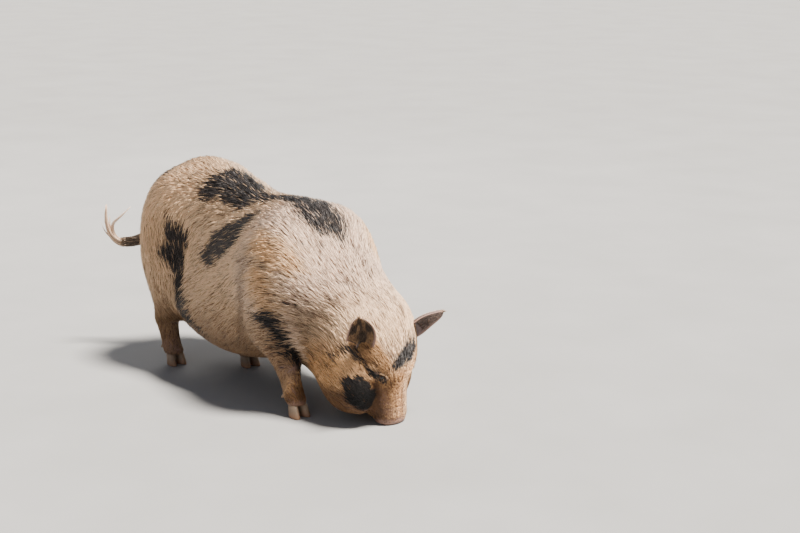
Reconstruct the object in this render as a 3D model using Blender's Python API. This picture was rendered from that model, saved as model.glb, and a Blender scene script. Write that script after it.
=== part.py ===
"""Miniature pig with its head down to root, a still model at life size.

+X is forwards, +Y the pig's left and +Z up, the floor is z = 0 and lengths are in metres.
The flesh is one rounded form. A field gives each point's distance from it, blended from
ellipsoids and tapered limbs, and the form is parted into its nodes by cuts 0.3 mm wide.
The fitted forms give the outline of the coat, and the solid flesh lies inside it.
"""
import math

import bmesh
import bpy
import numpy as np
from mathutils import Matrix, Vector

# The forms below are drawn for a rump 0.56 m high, and the finished nodes are scaled to size
RUMP_HEIGHT = 0.504
DRAWN_RUMP_HEIGHT = 0.560
SCALE = RUMP_HEIGHT / DRAWN_RUMP_HEIGHT
GAP = 0.0003 / SCALE
COAT_DEPTH = 0.010
SHORT_COAT_DEPTH = 0.003

# Trunk forms: middle, half sizes and softness of the join, mirrored across y = 0
TRUNK = {
    "rump": ((-0.275, 0.0, 0.385), (0.175, 0.145, 0.180), 0.05),
    "ham": ((-0.300, 0.090, 0.325), (0.130, 0.088, 0.200), 0.05),
    "croup": ((-0.165, 0.0, 0.425), (0.120, 0.105, 0.110), 0.05),
    "loin": ((-0.060, 0.0, 0.350), (0.240, 0.140, 0.160), 0.06),
    "ribs": ((0.110, 0.0, 0.315), (0.185, 0.176, 0.186), 0.06),
    "belly": ((-0.060, 0.0, 0.217), (0.250, 0.186, 0.152), 0.06),
    "shoulder": ((0.180, 0.088, 0.310), (0.110, 0.094, 0.172), 0.045),
}
# Limbs: first and last point, first and last radius, softness of the join
FLANK_FOLD = ((-0.13, 0.150, 0.20), (-0.25, 0.120, 0.24), 0.025, 0.040, 0.05)
NAPE = ((0.155, 0.0, 0.350), (0.362, 0.028, 0.222), 0.148, 0.116, 0.05)
THROAT = ((0.23, 0.0, 0.205), (0.350, 0.018, 0.140), 0.105, 0.108, 0.06)

# Head, in its own axes: x from the poll to the snout, y to the left, z out of the brow
POLL = np.array((0.469, 0.044, 0.262))
HEAD_YAW = math.radians(14.0)
HEAD_PITCH = math.radians(86.5)
HEAD_FORMS = {
    "cranium": ((0.050, 0.0, -0.062), (0.074, 0.084, 0.062), 0.03),
    "forehead": ((0.085, 0.0, -0.035), (0.070, 0.080, 0.041), 0.03),
    "brow": ((0.108, 0.042, -0.023), (0.034, 0.030, 0.024), 0.02),
    "cheek": ((0.155, 0.066, -0.078), (0.072, 0.045, 0.048), 0.03),
    "jowl": ((0.142, 0.050, -0.128), (0.092, 0.060, 0.064), 0.04),
}
MUZZLE = ((0.150, 0.0, -0.052), (0.238, 0.0, -0.042), 0.052, 0.037, 0.03)
MUZZLE_SIDE = ((0.190, 0.020, -0.044), (0.236, 0.020, -0.038), 0.030, 0.025, 0.02)
JAW = ((0.120, 0.012, -0.100), (0.218, 0.010, -0.070), 0.045, 0.024, 0.03)
SNOUT_DISC = ((0.256, 0.0, -0.040), (0.013, 0.041, 0.033), 0.010)
HEAD_SOFTNESS = 0.04
NOSTRIL = np.array((0.266, 0.013, -0.038))
NOSTRIL_RADIUS = 0.005
NOSTRIL_DEPTH = 0.014
MOUTH = ((0.246, 0.016, -0.070), (0.176, 0.050, -0.084))
MOUTH_WIDTH = 0.0035
MOUTH_DEPTH = 0.0055
LIP_SWELL = 0.0025
EYE = np.array((0.1280, 0.0600, -0.0180))
EYE_RADIUS = 0.0105
# Folds of the face: first and last point, width and depth
FOLDS = (
    ((0.069, 0.105, -0.065), (0.088, 0.097, -0.046), 0.007, 0.0060),
    ((0.088, 0.097, -0.046), (0.113, 0.088, -0.031), 0.006, 0.0060),
    ((0.113, 0.088, -0.031), (0.124, 0.076, -0.021), 0.005, 0.0035),
    ((0.054, 0.102, -0.059), (0.068, 0.114, -0.096), 0.009, 0.0075),
    ((0.148, 0.044, -0.008), (0.143, 0.076, -0.028), 0.005, 0.0030),
    ((0.148, 0.010, 0.003), (0.151, 0.028, 0.000), 0.005, 0.0020),
    ((0.164, 0.050, -0.022), (0.180, 0.062, -0.038), 0.006, 0.0025),
)

# Legs: top, elbow or stifle, knee or hock, fetlock, coronet, and a radius for each
FORE_RADII = (0.065, 0.050, 0.0285, 0.0240, 0.0265)
HIND_RADII = (0.085, 0.060, 0.0300, 0.0240, 0.0265)
LEGS = {
    "leg_front_right": (((0.195, -0.100, 0.290), (0.178, -0.122, 0.205), (0.235, -0.116, 0.115),
                         (0.258, -0.115, 0.052), (0.268, -0.115, 0.034)), FORE_RADII),
    "leg_front_left": (((0.195, 0.100, 0.290), (0.170, 0.122, 0.205), (0.205, 0.120, 0.115),
                        (0.212, 0.120, 0.052), (0.222, 0.120, 0.034)), FORE_RADII),
    "leg_hind_right": (((-0.290, -0.095, 0.300), (-0.275, -0.113, 0.225), (-0.335, -0.112, 0.128),
                        (-0.312, -0.112, 0.052), (-0.302, -0.112, 0.034)), HIND_RADII),
    "leg_hind_left": (((-0.280, 0.090, 0.300), (-0.245, 0.110, 0.220), (-0.245, 0.085, 0.118),
                       (-0.175, 0.040, 0.052), (-0.160, 0.034, 0.034)), HIND_RADII),
}
THIGH_SOFTNESS = 0.03
SHIN_SOFTNESS = 0.008


# How far the core of the coat lies inside its outline, as a share of the coat's depth
CORE_SHARE = 0.5
SMOOTH_ANGLE = math.radians(50.0)
MERGE = 1e-5

# Cuts between the nodes: a point and the direction that faces forwards
NECK_CUT = ((0.270, 0.0, 0.300), (0.985, 0.0, -0.170))
HEAD_CUT = ((0.425, 0.0, 0.340), (0.864, 0.0, -0.504))
# The space round each leg that parts it from the body: ends and radii
SLEEVES = {
    "leg_front_right": ((0.180, -0.122, 0.190), (0.290, -0.114, -0.020), 0.078, 0.055),
    "leg_front_left": ((0.172, 0.122, 0.190), (0.228, 0.120, -0.020), 0.078, 0.055),
    "leg_hind_right": ((-0.300, -0.112, 0.200), (-0.315, -0.112, -0.020), 0.100, 0.060),
    "leg_hind_left": ((-0.285, 0.108, 0.200), (-0.150, 0.015, -0.020), 0.100, 0.055),
}

# Where each piece of flesh is worked out, how finely, and its triangles before the cuts
BODY_LOW = (-0.47, -0.23, 0.0)
BODY_HIGH = (0.33, 0.23, 0.60)
TORSO_STEP = 0.007
TORSO_TRIANGLES = 1300
NECK_LOW = (0.21, -0.21, 0.02)
NECK_HIGH = (0.48, 0.22, 0.56)
NECK_STEP = 0.006
NECK_TRIANGLES = 800
HEAD_LOW = (0.25, -0.13, -0.012)
HEAD_HIGH = (0.52, 0.21, 0.37)
HEAD_STEP = 0.003
HEAD_TRIANGLES = 2700
LEG_STEP = 0.004
LEG_TRIANGLES = 460
LEG_MARGIN = 0.02

# Feet: each toe's levels give height, half length, half width and how far it leans forwards
CORONET = 0.034
HOOF_SIDES = 12
HOOF_SPREAD = 0.0128
HOOF_LEVELS = ((0.0, 0.0240, 0.0110, 0.0080), (0.006, 0.0235, 0.0112, 0.0065),
               (CORONET - GAP, 0.0175, 0.0105, 0.0010))
DEWCLAW_ROOT = (-0.0170, 0.0120, 0.0020)
DEWCLAW_REACH = (-0.0130, 0.0030, -0.0150)
DEWCLAW_RADIUS = 0.0065

# Eyes: where the opening looks, the way its corners lie, and its half sizes
EYE_AIM = np.array((0.33, 0.52, 0.79))
EYE_SLIT = np.array((-0.55, 0.72, -0.31))
EYE_OPENING = (0.0110, 0.0046, 0.0300)

# Ears: root in the head's axes, reach and facing in the pig's, half width, the curl at root
# and tip, and the share of its root's outer half that is drawn in, for left (1) and right (-1)
EARS = {
    1.0: ((0.034, 0.084, -0.014), (0.044, 0.046, 0.043), (0.76, -0.12, -0.64),
          0.048, (0.82, 0.95), 0.0),
    -1.0: ((0.048, -0.097, -0.050), (0.016, -0.013, 0.078), (0.83, -0.49, -0.25),
           0.049, (0.80, 0.35), 0.5),
}
EAR_SUNK = 0.012
EAR_ROWS = 9
EAR_COLUMNS = 7
EAR_LEAN = 0.006
EAR_THICKNESS = 0.0045
EAR_BEND = 0.010
EAR_PINCH_END = 0.30

# Tail: the dock's middle line and radii, then the strands of its switch
DOCK_POINTS = ((-0.405, 0.0, 0.392), (-0.448, -0.008, 0.362), (-0.495, -0.050, 0.323),
               (-0.528, -0.084, 0.303), (-0.556, -0.110, 0.297))
DOCK_STATIONS = 13
DOCK_RADII = (0.019, 0.0115)
STRAND_STATIONS = 9
STRAND_BREADTH = (0.6, 0.8, 0.1)
STRAND_FLATNESS = 0.55
STRAND_SIDES = 6
SWITCH_KNOB = ((0.0, 0.0115), (0.010, 0.0100), (0.022, 0.0050))
# Strands of the switch: half width, then points from its root
STRANDS = (
    (0.0085, ((-0.014, -0.018, 0.008), (-0.023, -0.031, 0.030), (-0.029, -0.036, 0.070),
              (-0.028, -0.033, 0.110))),
    (0.0055, ((-0.013, -0.017, 0.011), (-0.018, -0.024, 0.036), (-0.010, -0.022, 0.058),
              (0.010, -0.006, 0.079), (0.022, 0.018, 0.105))),
    (0.0042, ((-0.018, -0.022, 0.008), (-0.032, -0.040, 0.032), (-0.040, -0.050, 0.066))),
    (0.0045, ((-0.015, -0.019, 0.007), (-0.026, -0.034, 0.030), (-0.033, -0.040, 0.062))),
    (0.0045, ((-0.013, -0.017, 0.010), (-0.022, -0.028, 0.040), (-0.022, -0.028, 0.080))),
)

# Locks of the coat: each station gives how far along it is, its height over the core, and
# its breadth and thickness
SEED = 11
LOCK_STATIONS = ((0.0, -0.0100, 0.55, 0.0060), (0.20, -0.0010, 0.95, 0.0060),
                 (0.48, 0.0030, 1.00, 0.0050), (0.78, 0.0055, 0.66, 0.0036),
                 (1.0, 0.0070, 0.12, 0.0014))
LOCK_SWAY = 0.16
LOCK_LENGTH = 0.105
LOCK_WIDTH = 0.052
TORSO_AXIS = ((-0.400, 0.0, 0.330), (0.235, 0.0, 0.290))
TORSO_RINGS = 7
TORSO_AROUND = 10
TORSO_TURN = math.radians(150.0)
TAIL_CLEARANCE = 0.055
BELLY_BARE_BELOW = 0.095
NECK_AXIS = ((0.300, 0.010, 0.270), (0.385, 0.020, 0.215))
NECK_RINGS = 2
NECK_AROUND = 8
NECK_TURN = math.radians(100.0)
CHEEK_FIRST = (0.085, -0.055)
CHEEK_SPACING = (0.040, 0.034)
CHEEK_ROWS = 3
CHEEK_START = 0.14
CHEEK_STEPS = 2
CHEEK_LOCK_LENGTH = 0.060
CHEEK_LOCK_WIDTH = 0.028
LEG_LOCK_SPAN = (0.08, 0.42)
LEG_LOCK_RINGS = 2
LEG_LOCK_AROUND = 3
LEG_LOCK_TURN = math.radians(60.0)
LEG_LOCK_START = 0.09
LEG_LOCK_LENGTH = 0.055
LEG_LOCK_WIDTH = 0.026


def ellipsoid(p, middle, half_sizes):
    """Distance to an ellipsoid, near enough, negative inside."""
    q = p - np.array(middle)
    half = np.array(half_sizes)
    near = np.linalg.norm(q / half, axis=-1)
    steep = np.linalg.norm(q / half ** 2, axis=-1)
    return near * (near - 1.0) / np.maximum(steep, 1e-9)


def limb(p, first, last, first_radius, last_radius):
    """Distance to a round limb whose radius runs evenly from one end to the other."""
    first = np.array(first)
    along = np.array(last) - first
    share = np.clip((p - first) @ along / (along @ along), 0.0, 1.0)
    off = np.linalg.norm(p - first - share[..., None] * along, axis=-1)
    return off - (first_radius + (last_radius - first_radius) * share)


def blend(one, other, softness):
    """The nearer of two distances, with the crease between them filled in softly."""
    share = np.clip(0.5 + 0.5 * (other - one) / softness, 0.0, 1.0)
    return other + (one - other) * share - softness * share * (1.0 - share)


def mirrored(p):
    """Points folded onto the left side, so that a form stands on both."""
    q = p.copy()
    q[..., 1] = np.abs(q[..., 1])
    return q


def head_axes():
    """The head's own axes as columns: to the snout, to the left, and out of the brow."""
    snout = np.array((math.cos(HEAD_YAW) * math.cos(HEAD_PITCH),
                      math.sin(HEAD_YAW) * math.cos(HEAD_PITCH), -math.sin(HEAD_PITCH)))
    left = np.array((-math.sin(HEAD_YAW), math.cos(HEAD_YAW), 0.0))
    return np.stack([snout, left, np.cross(snout, left)], 1)


HEAD_AXES = head_axes()


def to_head(p):
    return (p - POLL) @ HEAD_AXES


def from_head(q):
    return POLL + np.asarray(q) @ HEAD_AXES.T


def trunk(p):
    q = mirrored(p)
    distance = None
    for middle, half_sizes, softness in TRUNK.values():
        form = ellipsoid(q, middle, half_sizes)
        distance = form if distance is None else blend(distance, form, softness)
    return blend(distance, limb(q, *FLANK_FOLD[:4]), FLANK_FOLD[4])


def neck(p):
    return blend(limb(p, *NAPE[:4]), limb(p, *THROAT[:4]), THROAT[4])


def hollow(p, middle, width, depth):
    """A soft round hollow or, with a negative depth, a swelling."""
    off = np.linalg.norm(p - np.array(middle), axis=-1)
    return depth * np.exp(-(off / width) ** 2)


def crease(p, first, last, width, depth):
    """A soft groove along a line."""
    return depth * np.exp(-(np.maximum(limb(p, first, last, 0.0, 0.0), 0.0) / width) ** 2)


def head(p):
    q = mirrored(to_head(p))
    distance = None
    for middle, half_sizes, softness in HEAD_FORMS.values():
        form = ellipsoid(q, middle, half_sizes)
        distance = form if distance is None else blend(distance, form, softness)
    for form in (MUZZLE, MUZZLE_SIDE, JAW):
        distance = blend(distance, limb(q, *form[:4]), form[4])
    middle, half_sizes, softness = SNOUT_DISC
    distance = blend(distance, ellipsoid(q, middle, half_sizes), softness)
    return distance + features(q)


def features(q):
    """Mouth, lips, nostrils, eye sockets and the folds of the face, in the head's axes."""
    first, last = (np.array(end) for end in MOUTH)
    lip = np.array((0.0, 0.0, 2.6 * MOUTH_WIDTH))
    change = crease(q, first, last, MOUTH_WIDTH, MOUTH_DEPTH)
    for side in (-1.0, 1.0):
        change -= crease(q, first + side * lip, last + side * lip, 2.0 * MOUTH_WIDTH, LIP_SWELL)
    change += hollow(q, NOSTRIL, NOSTRIL_RADIUS, NOSTRIL_DEPTH)
    change += hollow(q, EYE + np.array((0.004, 0.005, 0.009)), 0.015, 0.0045)
    for first, last, width, depth in FOLDS:
        change += crease(q, first, last, width, depth)
    return change


def leg(p, points, radii):
    """One leg: the thigh or upper arm, then the shin, then the pastern."""
    upper = limb(p, points[0], points[1], radii[0], radii[1])
    upper = blend(upper, limb(p, points[1], points[2], radii[1], radii[2]), THIGH_SOFTNESS)
    shin = limb(p, points[2], points[3], radii[2], radii[3])
    return upper, blend(shin, limb(p, points[3], points[4], radii[3], radii[4]), SHIN_SOFTNESS)


def outline(p, with_legs=True, with_head=True):
    """Distance to the outline of the whole coat."""
    distance = blend(trunk(p), neck(p), NAPE[4])
    if with_head:
        distance = blend(distance, head(p), HEAD_SOFTNESS)
    if with_legs:
        for points, radii in LEGS.values():
            upper, shin = leg(p, points, radii)
            distance = blend(distance, upper, THIGH_SOFTNESS)
            distance = blend(distance, shin, SHIN_SOFTNESS)
    return distance


def coat_depth(p):
    """How far the skin lies inside the outline: little on the face, the feet and the belly."""
    q = to_head(p)
    face = np.clip((q[..., 2] + 0.35 * q[..., 0] + 0.13) / 0.09, 0.0, 1.0)
    low = np.clip((0.18 - p[..., 2]) / 0.08, 0.0, 1.0)
    short = np.maximum(face, low)
    return COAT_DEPTH + (SHORT_COAT_DEPTH - COAT_DEPTH) * short * short * (3.0 - 2.0 * short)


def core(p, **parts):
    return outline(p, **parts) + CORE_SHARE * coat_depth(p)


def surface(field, low, high, step):
    """Points and four-sided faces where a field is zero: one point in each cell it crosses."""
    low = np.array(low)
    count = np.ceil((np.array(high) - low) / step).astype(int) + 1
    lines = [low[axis] + step * np.arange(count[axis]) for axis in range(3)]
    value = field(np.stack(np.meshgrid(*lines, indexing="ij"), -1).reshape(-1, 3)).reshape(count)
    for axis in range(3):
        np.moveaxis(value, axis, 0)[[0, -1]] = step
    cells = count - 1
    total = np.zeros((*cells, 3))
    hits = np.zeros(cells)
    crossings = []
    for axis in range(3):
        start = [slice(None)] * 3
        end = [slice(None)] * 3
        start[axis], end[axis] = slice(None, -1), slice(1, None)
        first, last = value[tuple(start)], value[tuple(end)]
        crossed = (first < 0.0) != (last < 0.0)
        share = np.where(crossed, first / np.where(crossed, first - last, 1.0), 0.0)
        crossings.append((crossed, first < 0.0))
        others = [other for other in range(3) if other != axis]
        for a in (0, 1):
            for b in (0, 1):
                part = [slice(None)] * 3
                part[others[0]] = slice(a, a + cells[others[0]])
                part[others[1]] = slice(b, b + cells[others[1]])
                here = crossed[tuple(part)]
                total[..., axis] += np.where(here, share[tuple(part)], 0.0)
                total[..., others[0]] += a * here
                total[..., others[1]] += b * here
                hits += here
    live = hits > 0
    number = -np.ones(cells, int)
    number[live] = np.arange(live.sum())
    points = low + step * (np.argwhere(live) + total[live] / hits[live][:, None])
    faces = []
    for axis in range(3):
        crossed, starts_inside = crossings[axis]
        at = np.argwhere(crossed)
        inner = np.all([(at[:, k] > 0) & (at[:, k] < cells[k]) for k in range(3) if k != axis], 0)
        at = at[inner]
        b, c = (axis + 1) % 3, (axis + 2) % 3
        one_b, one_c = np.eye(3, dtype=int)[b], np.eye(3, dtype=int)[c]
        ring = [at, at - one_b, at - one_b - one_c, at - one_c]
        ring = np.stack([number[tuple(corner.T)] for corner in ring], 1)
        outward = starts_inside[tuple(at.T)]
        ring[~outward] = ring[~outward][:, ::-1]
        faces.append(ring)
    return points, np.concatenate(faces)


def add_object(name, points, faces):
    mesh = bpy.data.meshes.new(name)
    mesh.from_pydata([tuple(point) for point in points], [], [tuple(face) for face in faces])
    obj = bpy.data.objects.new(name, mesh)
    bpy.context.collection.objects.link(obj)
    return obj


def settle(obj):
    """Apply an object's modifiers to its mesh."""
    bpy.context.view_layer.update()
    evaluated = obj.evaluated_get(bpy.context.evaluated_depsgraph_get())
    mesh = bpy.data.meshes.new_from_object(evaluated)
    obj.modifiers.clear()
    obj.data = mesh


def remove(obj):
    bpy.data.objects.remove(obj, do_unlink=True)


def keep_largest(obj):
    """Leave only an object's largest closed surface, split into triangles."""
    shape = bmesh.new()
    shape.from_mesh(obj.data)
    left = set(shape.faces)
    groups = []
    while left:
        group = set()
        front = [left.pop()]
        while front:
            face = front.pop()
            group.add(face)
            for edge in face.edges:
                for other in edge.link_faces:
                    if other in left:
                        left.remove(other)
                        front.append(other)
        groups.append(group)
    groups.sort(key=lambda group: sum(face.calc_area() for face in group))
    scraps = [face for group in groups[:-1] for face in group]
    bmesh.ops.delete(shape, geom=scraps, context="FACES")
    bmesh.ops.remove_doubles(shape, verts=shape.verts, dist=MERGE)
    bmesh.ops.dissolve_degenerate(shape, edges=shape.edges, dist=MERGE)
    bmesh.ops.triangulate(shape, faces=shape.faces)
    shape.to_mesh(obj.data)
    shape.free()


def carve(obj, tool, operation):
    """Cut an object by another, or keep its part inside it, and use the other up."""
    boolean = obj.modifiers.new("carve", "BOOLEAN")
    boolean.operation = operation
    boolean.solver = "MANIFOLD"
    boolean.object = tool
    settle(obj)
    remove(tool)
    keep_largest(obj)


def flesh(name, field, low, high, step, triangles):
    """A closed surface of a field, thinned to about so many triangles."""
    points, faces = surface(field, low, high, step)
    obj = add_object(name, points, faces)
    thin = obj.modifiers.new("thin", "DECIMATE")
    thin.ratio = triangles / (2.0 * len(faces))
    settle(obj)
    keep_largest(obj)
    return obj


def slab(point, outward):
    """A large block that fills one side of a plane, away from its outward direction."""
    outward = Vector(outward).normalized()
    turn = outward.to_track_quat("Z", "Y").to_matrix()
    size = 1.5
    corners = [(x, y, z) for z in (-2.0, 0.0) for y in (-1.0, 1.0) for x in (-1.0, 1.0)]
    points = [Vector(point) + turn @ (size * Vector(corner)) for corner in corners]
    faces = [(0, 2, 3, 1), (4, 5, 7, 6), (0, 1, 5, 4), (1, 3, 7, 5), (3, 2, 6, 7), (2, 0, 4, 6)]
    return add_object("slab", points, faces)


def rings_of(rings):
    """A closed skin over rings of points, with a fan over each end."""
    rings = np.array(rings)
    count, sides = rings.shape[:2]
    points = [*rings.reshape(-1, 3), rings[0].mean(0), rings[-1].mean(0)]
    faces = []
    for i in range(count - 1):
        for j in range(sides):
            a, b = i * sides + j, i * sides + (j + 1) % sides
            faces.append((a, b, b + sides))
            faces.append((a, b + sides, a + sides))
    for j in range(sides):
        following = (j + 1) % sides
        faces.append((following, j, count * sides))
        faces.append(((count - 1) * sides + j, (count - 1) * sides + following, count * sides + 1))
    return points, faces


def frame_along(path):
    """Directions along a path and two across it at each point, turning as little as may be."""
    path = np.array(path)
    along = np.gradient(path, axis=0)
    along /= np.linalg.norm(along, axis=1)[:, None]
    up = np.array((0.0, 0.0, 1.0))
    sides = []
    for direction in along:
        side = np.cross(direction, up)
        side /= np.linalg.norm(side)
        up = np.cross(side, direction)
        sides.append((side, up))
    return along, np.array(sides)


def tube(name, path, radii, sides=10):
    """A round tube along a path, with a radius at each of its points."""
    path = np.array(path)
    across = frame_along(path)[1]
    turn = np.linspace(0.0, 2.0 * math.pi, sides, endpoint=False)
    rings = []
    for middle, radius, (side, up) in zip(path, radii, across):
        rings.append(middle + radius * (np.cos(turn)[:, None] * side - np.sin(turn)[:, None] * up))
    points, faces = rings_of(rings)
    return outwards(add_object(name, points, faces))


def outwards(obj):
    """Turn a closed mesh the right way out."""
    shape = bmesh.new()
    shape.from_mesh(obj.data)
    bmesh.ops.recalc_face_normals(shape, faces=shape.faces)
    if shape.calc_volume(signed=True) < 0.0:
        bmesh.ops.reverse_faces(shape, faces=shape.faces)
    shape.to_mesh(obj.data)
    shape.free()
    return obj


def curve_through(points, count):
    """Points of a smooth curve that passes through the given ones."""
    points = np.array(points, float)
    padded = np.vstack([2 * points[0] - points[1], points, 2 * points[-1] - points[-2]])
    place = np.linspace(0.0, len(points) - 1.0 - 1e-9, count)
    span = place.astype(int)
    t = (place - span)[:, None]
    a, b, c, d = (padded[span + k] for k in range(4))
    return 0.5 * (2 * b + (c - a) * t + (2 * a - 5 * b + 4 * c - d) * t ** 2
                  + (3 * b - a - 3 * c + d) * t ** 3)


def ball(middle, radius, across=12, down=8):
    """A closed round ball."""
    shape = bmesh.new()
    bmesh.ops.create_uvsphere(shape, u_segments=across, v_segments=down, radius=radius)
    mesh = bpy.data.meshes.new("ball")
    shape.to_mesh(mesh)
    shape.free()
    mesh.transform(Matrix.Translation(Vector(middle)))
    obj = bpy.data.objects.new("ball", mesh)
    bpy.context.collection.objects.link(obj)
    return obj


def copy_of(obj):
    copy = bpy.data.objects.new(obj.name, obj.data.copy())
    bpy.context.collection.objects.link(copy)
    return copy


def swollen(obj, distance):
    """A copy of an object whose skin stands out by a distance."""
    shape = bmesh.new()
    shape.from_mesh(obj.data)
    shape.normal_update()
    moves = [(vert, vert.co + distance * vert.normal) for vert in shape.verts]
    for vert, place in moves:
        vert.co = place
    mesh = bpy.data.meshes.new("swollen")
    shape.to_mesh(mesh)
    shape.free()
    copy = bpy.data.objects.new("swollen", mesh)
    bpy.context.collection.objects.link(copy)
    return copy


def sleeve(name, extra=0.0):
    """The round, tapered space that parts a leg from the body, wider by an extra distance."""
    top, foot, top_radius, foot_radius = SLEEVES[name]
    top, foot = np.array(top), np.array(foot)
    along = (foot - top) / np.linalg.norm(foot - top)
    path = [top - extra * along, foot + extra * along]
    return tube("sleeve", path, (top_radius + extra, foot_radius + extra), sides=16)


def material(name, colour, roughness):
    surface_material = bpy.data.materials.new(name)
    surface_material.use_nodes = True
    shader = surface_material.node_tree.nodes["Principled BSDF"]
    shader.inputs["Base Color"].default_value = (*colour, 1.0)
    shader.inputs["Roughness"].default_value = roughness
    shader.inputs["Metallic"].default_value = 0.0
    surface_material.diffuse_color = (*colour, 1.0)
    return surface_material


def finish(obj, name, look):
    """Give a node its name, material and shading."""
    obj.name = name
    obj.data.name = name
    obj.data.materials.clear()
    obj.data.materials.append(look)
    obj.data.shade_smooth()
    obj.data.set_sharp_from_angle(angle=SMOOTH_ANGLE)


def eye_middle(side):
    return from_head(EYE * np.array((1.0, side, 1.0)))


def eye_opening(side):
    """The almond-shaped space between the lids."""
    aim = HEAD_AXES @ (EYE_AIM * np.array((1.0, side, 1.0)))
    aim /= np.linalg.norm(aim)
    slit = HEAD_AXES @ np.array(EYE_SLIT * np.array((1.0, side, 1.0)))
    slit -= aim * (slit @ aim)
    slit /= np.linalg.norm(slit)
    across = np.cross(aim, slit)
    obj = ball((0.0, 0.0, 0.0), 1.0, 14, 8)
    columns = [EYE_OPENING[0] * slit, EYE_OPENING[1] * across, EYE_OPENING[2] * aim,
               eye_middle(side)]
    rows = [[column[k] for column in columns] for k in range(3)]
    obj.data.transform(Matrix(rows + [[0.0, 0.0, 0.0, 1.0]]))
    return outwards(obj)


def hoof(name, inner):
    """One toe: a pointed, flat-soled block that widens towards the ground."""
    foot = np.array(LEGS[name][0][4])
    turn = np.linspace(0.0, 2.0 * math.pi, HOOF_SIDES, endpoint=False)
    rings = []
    for height, length, width, forward in HOOF_LEVELS:
        reach = np.where(np.cos(turn) > 0.0, 1.0, 0.7) * length
        x = forward + reach * np.sign(np.cos(turn)) * np.abs(np.cos(turn)) ** 0.9
        y = inner * HOOF_SPREAD + width * np.sin(turn)
        y += inner * 0.1 * np.maximum(x, 0.0)
        z = np.full(HOOF_SIDES, height)
        rings.append(np.stack([foot[0] + x, foot[1] + y, z], 1))
    points, faces = rings_of(rings)
    return outwards(add_object("hoof", points, faces))


def dewclaw(name, inner, extra=0.0):
    """A small blunt cone behind the pastern, clear of the ground."""
    foot = np.array(LEGS[name][0][3])
    first = foot + np.array(DEWCLAW_ROOT) * np.array((1.0, inner, 1.0))
    last = first + np.array(DEWCLAW_REACH) * np.array((1.0, inner, 1.0))
    along = (last - first) / np.linalg.norm(last - first)
    path = [first - extra * along, last + extra * along]
    return tube("dewclaw", path, (DEWCLAW_RADIUS + extra, 0.45 * DEWCLAW_RADIUS + extra), sides=8)


def ear_node(side, head_skin):
    """A thin leaf, cupped most at its root, that stands out from the side of the brow."""
    root, reach, facing = (np.array(value) for value in EARS[side][:3])
    half_width, (root_curl, tip_curl), pinch = EARS[side][3:]
    length = np.linalg.norm(reach)
    along = reach / length
    facing = facing - along * (facing @ along)
    facing /= np.linalg.norm(facing)
    across = np.cross(facing, along)
    u = np.linspace(-EAR_SUNK / length, 1.0, EAR_ROWS)
    v = np.linspace(-1.0, 1.0, EAR_COLUMNS)
    share = np.clip(u, 0.0, 1.0)
    half = half_width * np.maximum(1.0 - share, 0.0) ** 0.62 * (0.80 + 0.60 * share)
    half = np.maximum(half, 0.002)
    curl = root_curl + (tip_curl - root_curl) * share
    drawn_in = pinch * np.clip(1.0 - u / EAR_PINCH_END, 0.0, 1.0)[:, None]
    angle = curl[:, None] * v * (1.0 - drawn_in * (side * v < 0.0))
    radius = (half / curl)[:, None]
    bend = EAR_BEND * share[:, None] ** 2
    lean = side * EAR_LEAN * (4.0 * share * (1.0 - share))[:, None]
    middle = (from_head(root)[None, None] + (u * length)[:, None, None] * along
              + (radius * np.sin(angle) + lean)[..., None] * across
              + (radius * (1.0 - np.cos(angle)) + bend)[..., None] * facing)
    normal = (np.cos(angle)[..., None] * facing - np.sin(angle)[..., None] * across)
    thick = (EAR_THICKNESS * (1.0 - 0.45 * share))[:, None, None] * 0.5
    rings = np.concatenate([middle - thick * normal, (middle + thick * normal)[:, ::-1]], 1)
    points, faces = rings_of(rings)
    obj = outwards(add_object("ear", points, faces))
    carve(obj, copy_of(head_skin), "DIFFERENCE")
    return obj


def tail_path():
    return curve_through(DOCK_POINTS, DOCK_STATIONS)


def tail_node(torso_skin):
    path = tail_path()
    share = np.linspace(0.0, 1.0, DOCK_STATIONS)
    obj = tube("tail", path, DOCK_RADII[0] + (DOCK_RADII[1] - DOCK_RADII[0]) * share)
    carve(obj, copy_of(torso_skin), "DIFFERENCE")
    return obj


def lie(p, normal):
    """The way the hair lies: up the face, back over the body and down its sides and the legs."""
    q = to_head(p)
    side = np.sign(q[..., 1])
    lateral = np.clip((np.abs(q[..., 1]) - 0.035) / 0.045, 0.0, 1.0)[..., None]
    up = np.stack([np.zeros_like(side), 0.4 * side, np.ones_like(side)], -1)
    face = up * (1.0 - lateral) + np.array((-1.0, 0.0, -0.7)) * lateral
    flank = 0.75 * np.clip(1.2 * np.abs(normal[..., 1]) - 0.1, 0.0, 1.0)
    body = np.stack([-np.ones_like(flank), np.zeros_like(flank), -0.12 - flank], -1)
    ahead = (p - np.array(HEAD_CUT[0])) @ np.array(HEAD_CUT[1])
    on_head = np.clip(ahead / 0.05 + 0.5, 0.0, 1.0)[..., None]
    on_leg = np.clip((0.17 - p[..., 2]) / 0.06, 0.0, 1.0)[..., None] * (1.0 - on_head)
    on_leg = on_leg * np.clip(1.0 - 2.0 * np.abs(normal[..., 2:]), 0.0, 1.0)
    way = body * (1.0 - on_head) + face * on_head
    way = way * (1.0 - on_leg) + np.array((-0.15, 0.0, -1.0)) * on_leg
    way = way - normal * np.sum(way * normal, -1, keepdims=True)
    return way / np.maximum(np.linalg.norm(way, axis=-1, keepdims=True), 1e-6)


def slope(field, p, reach=0.002):
    """The outward direction of a field at each point."""
    steps = reach * np.eye(3)
    rise = np.stack([field(p + step) - field(p - step) for step in steps], -1)
    return rise / np.maximum(np.linalg.norm(rise, axis=-1, keepdims=True), 1e-9)


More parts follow.
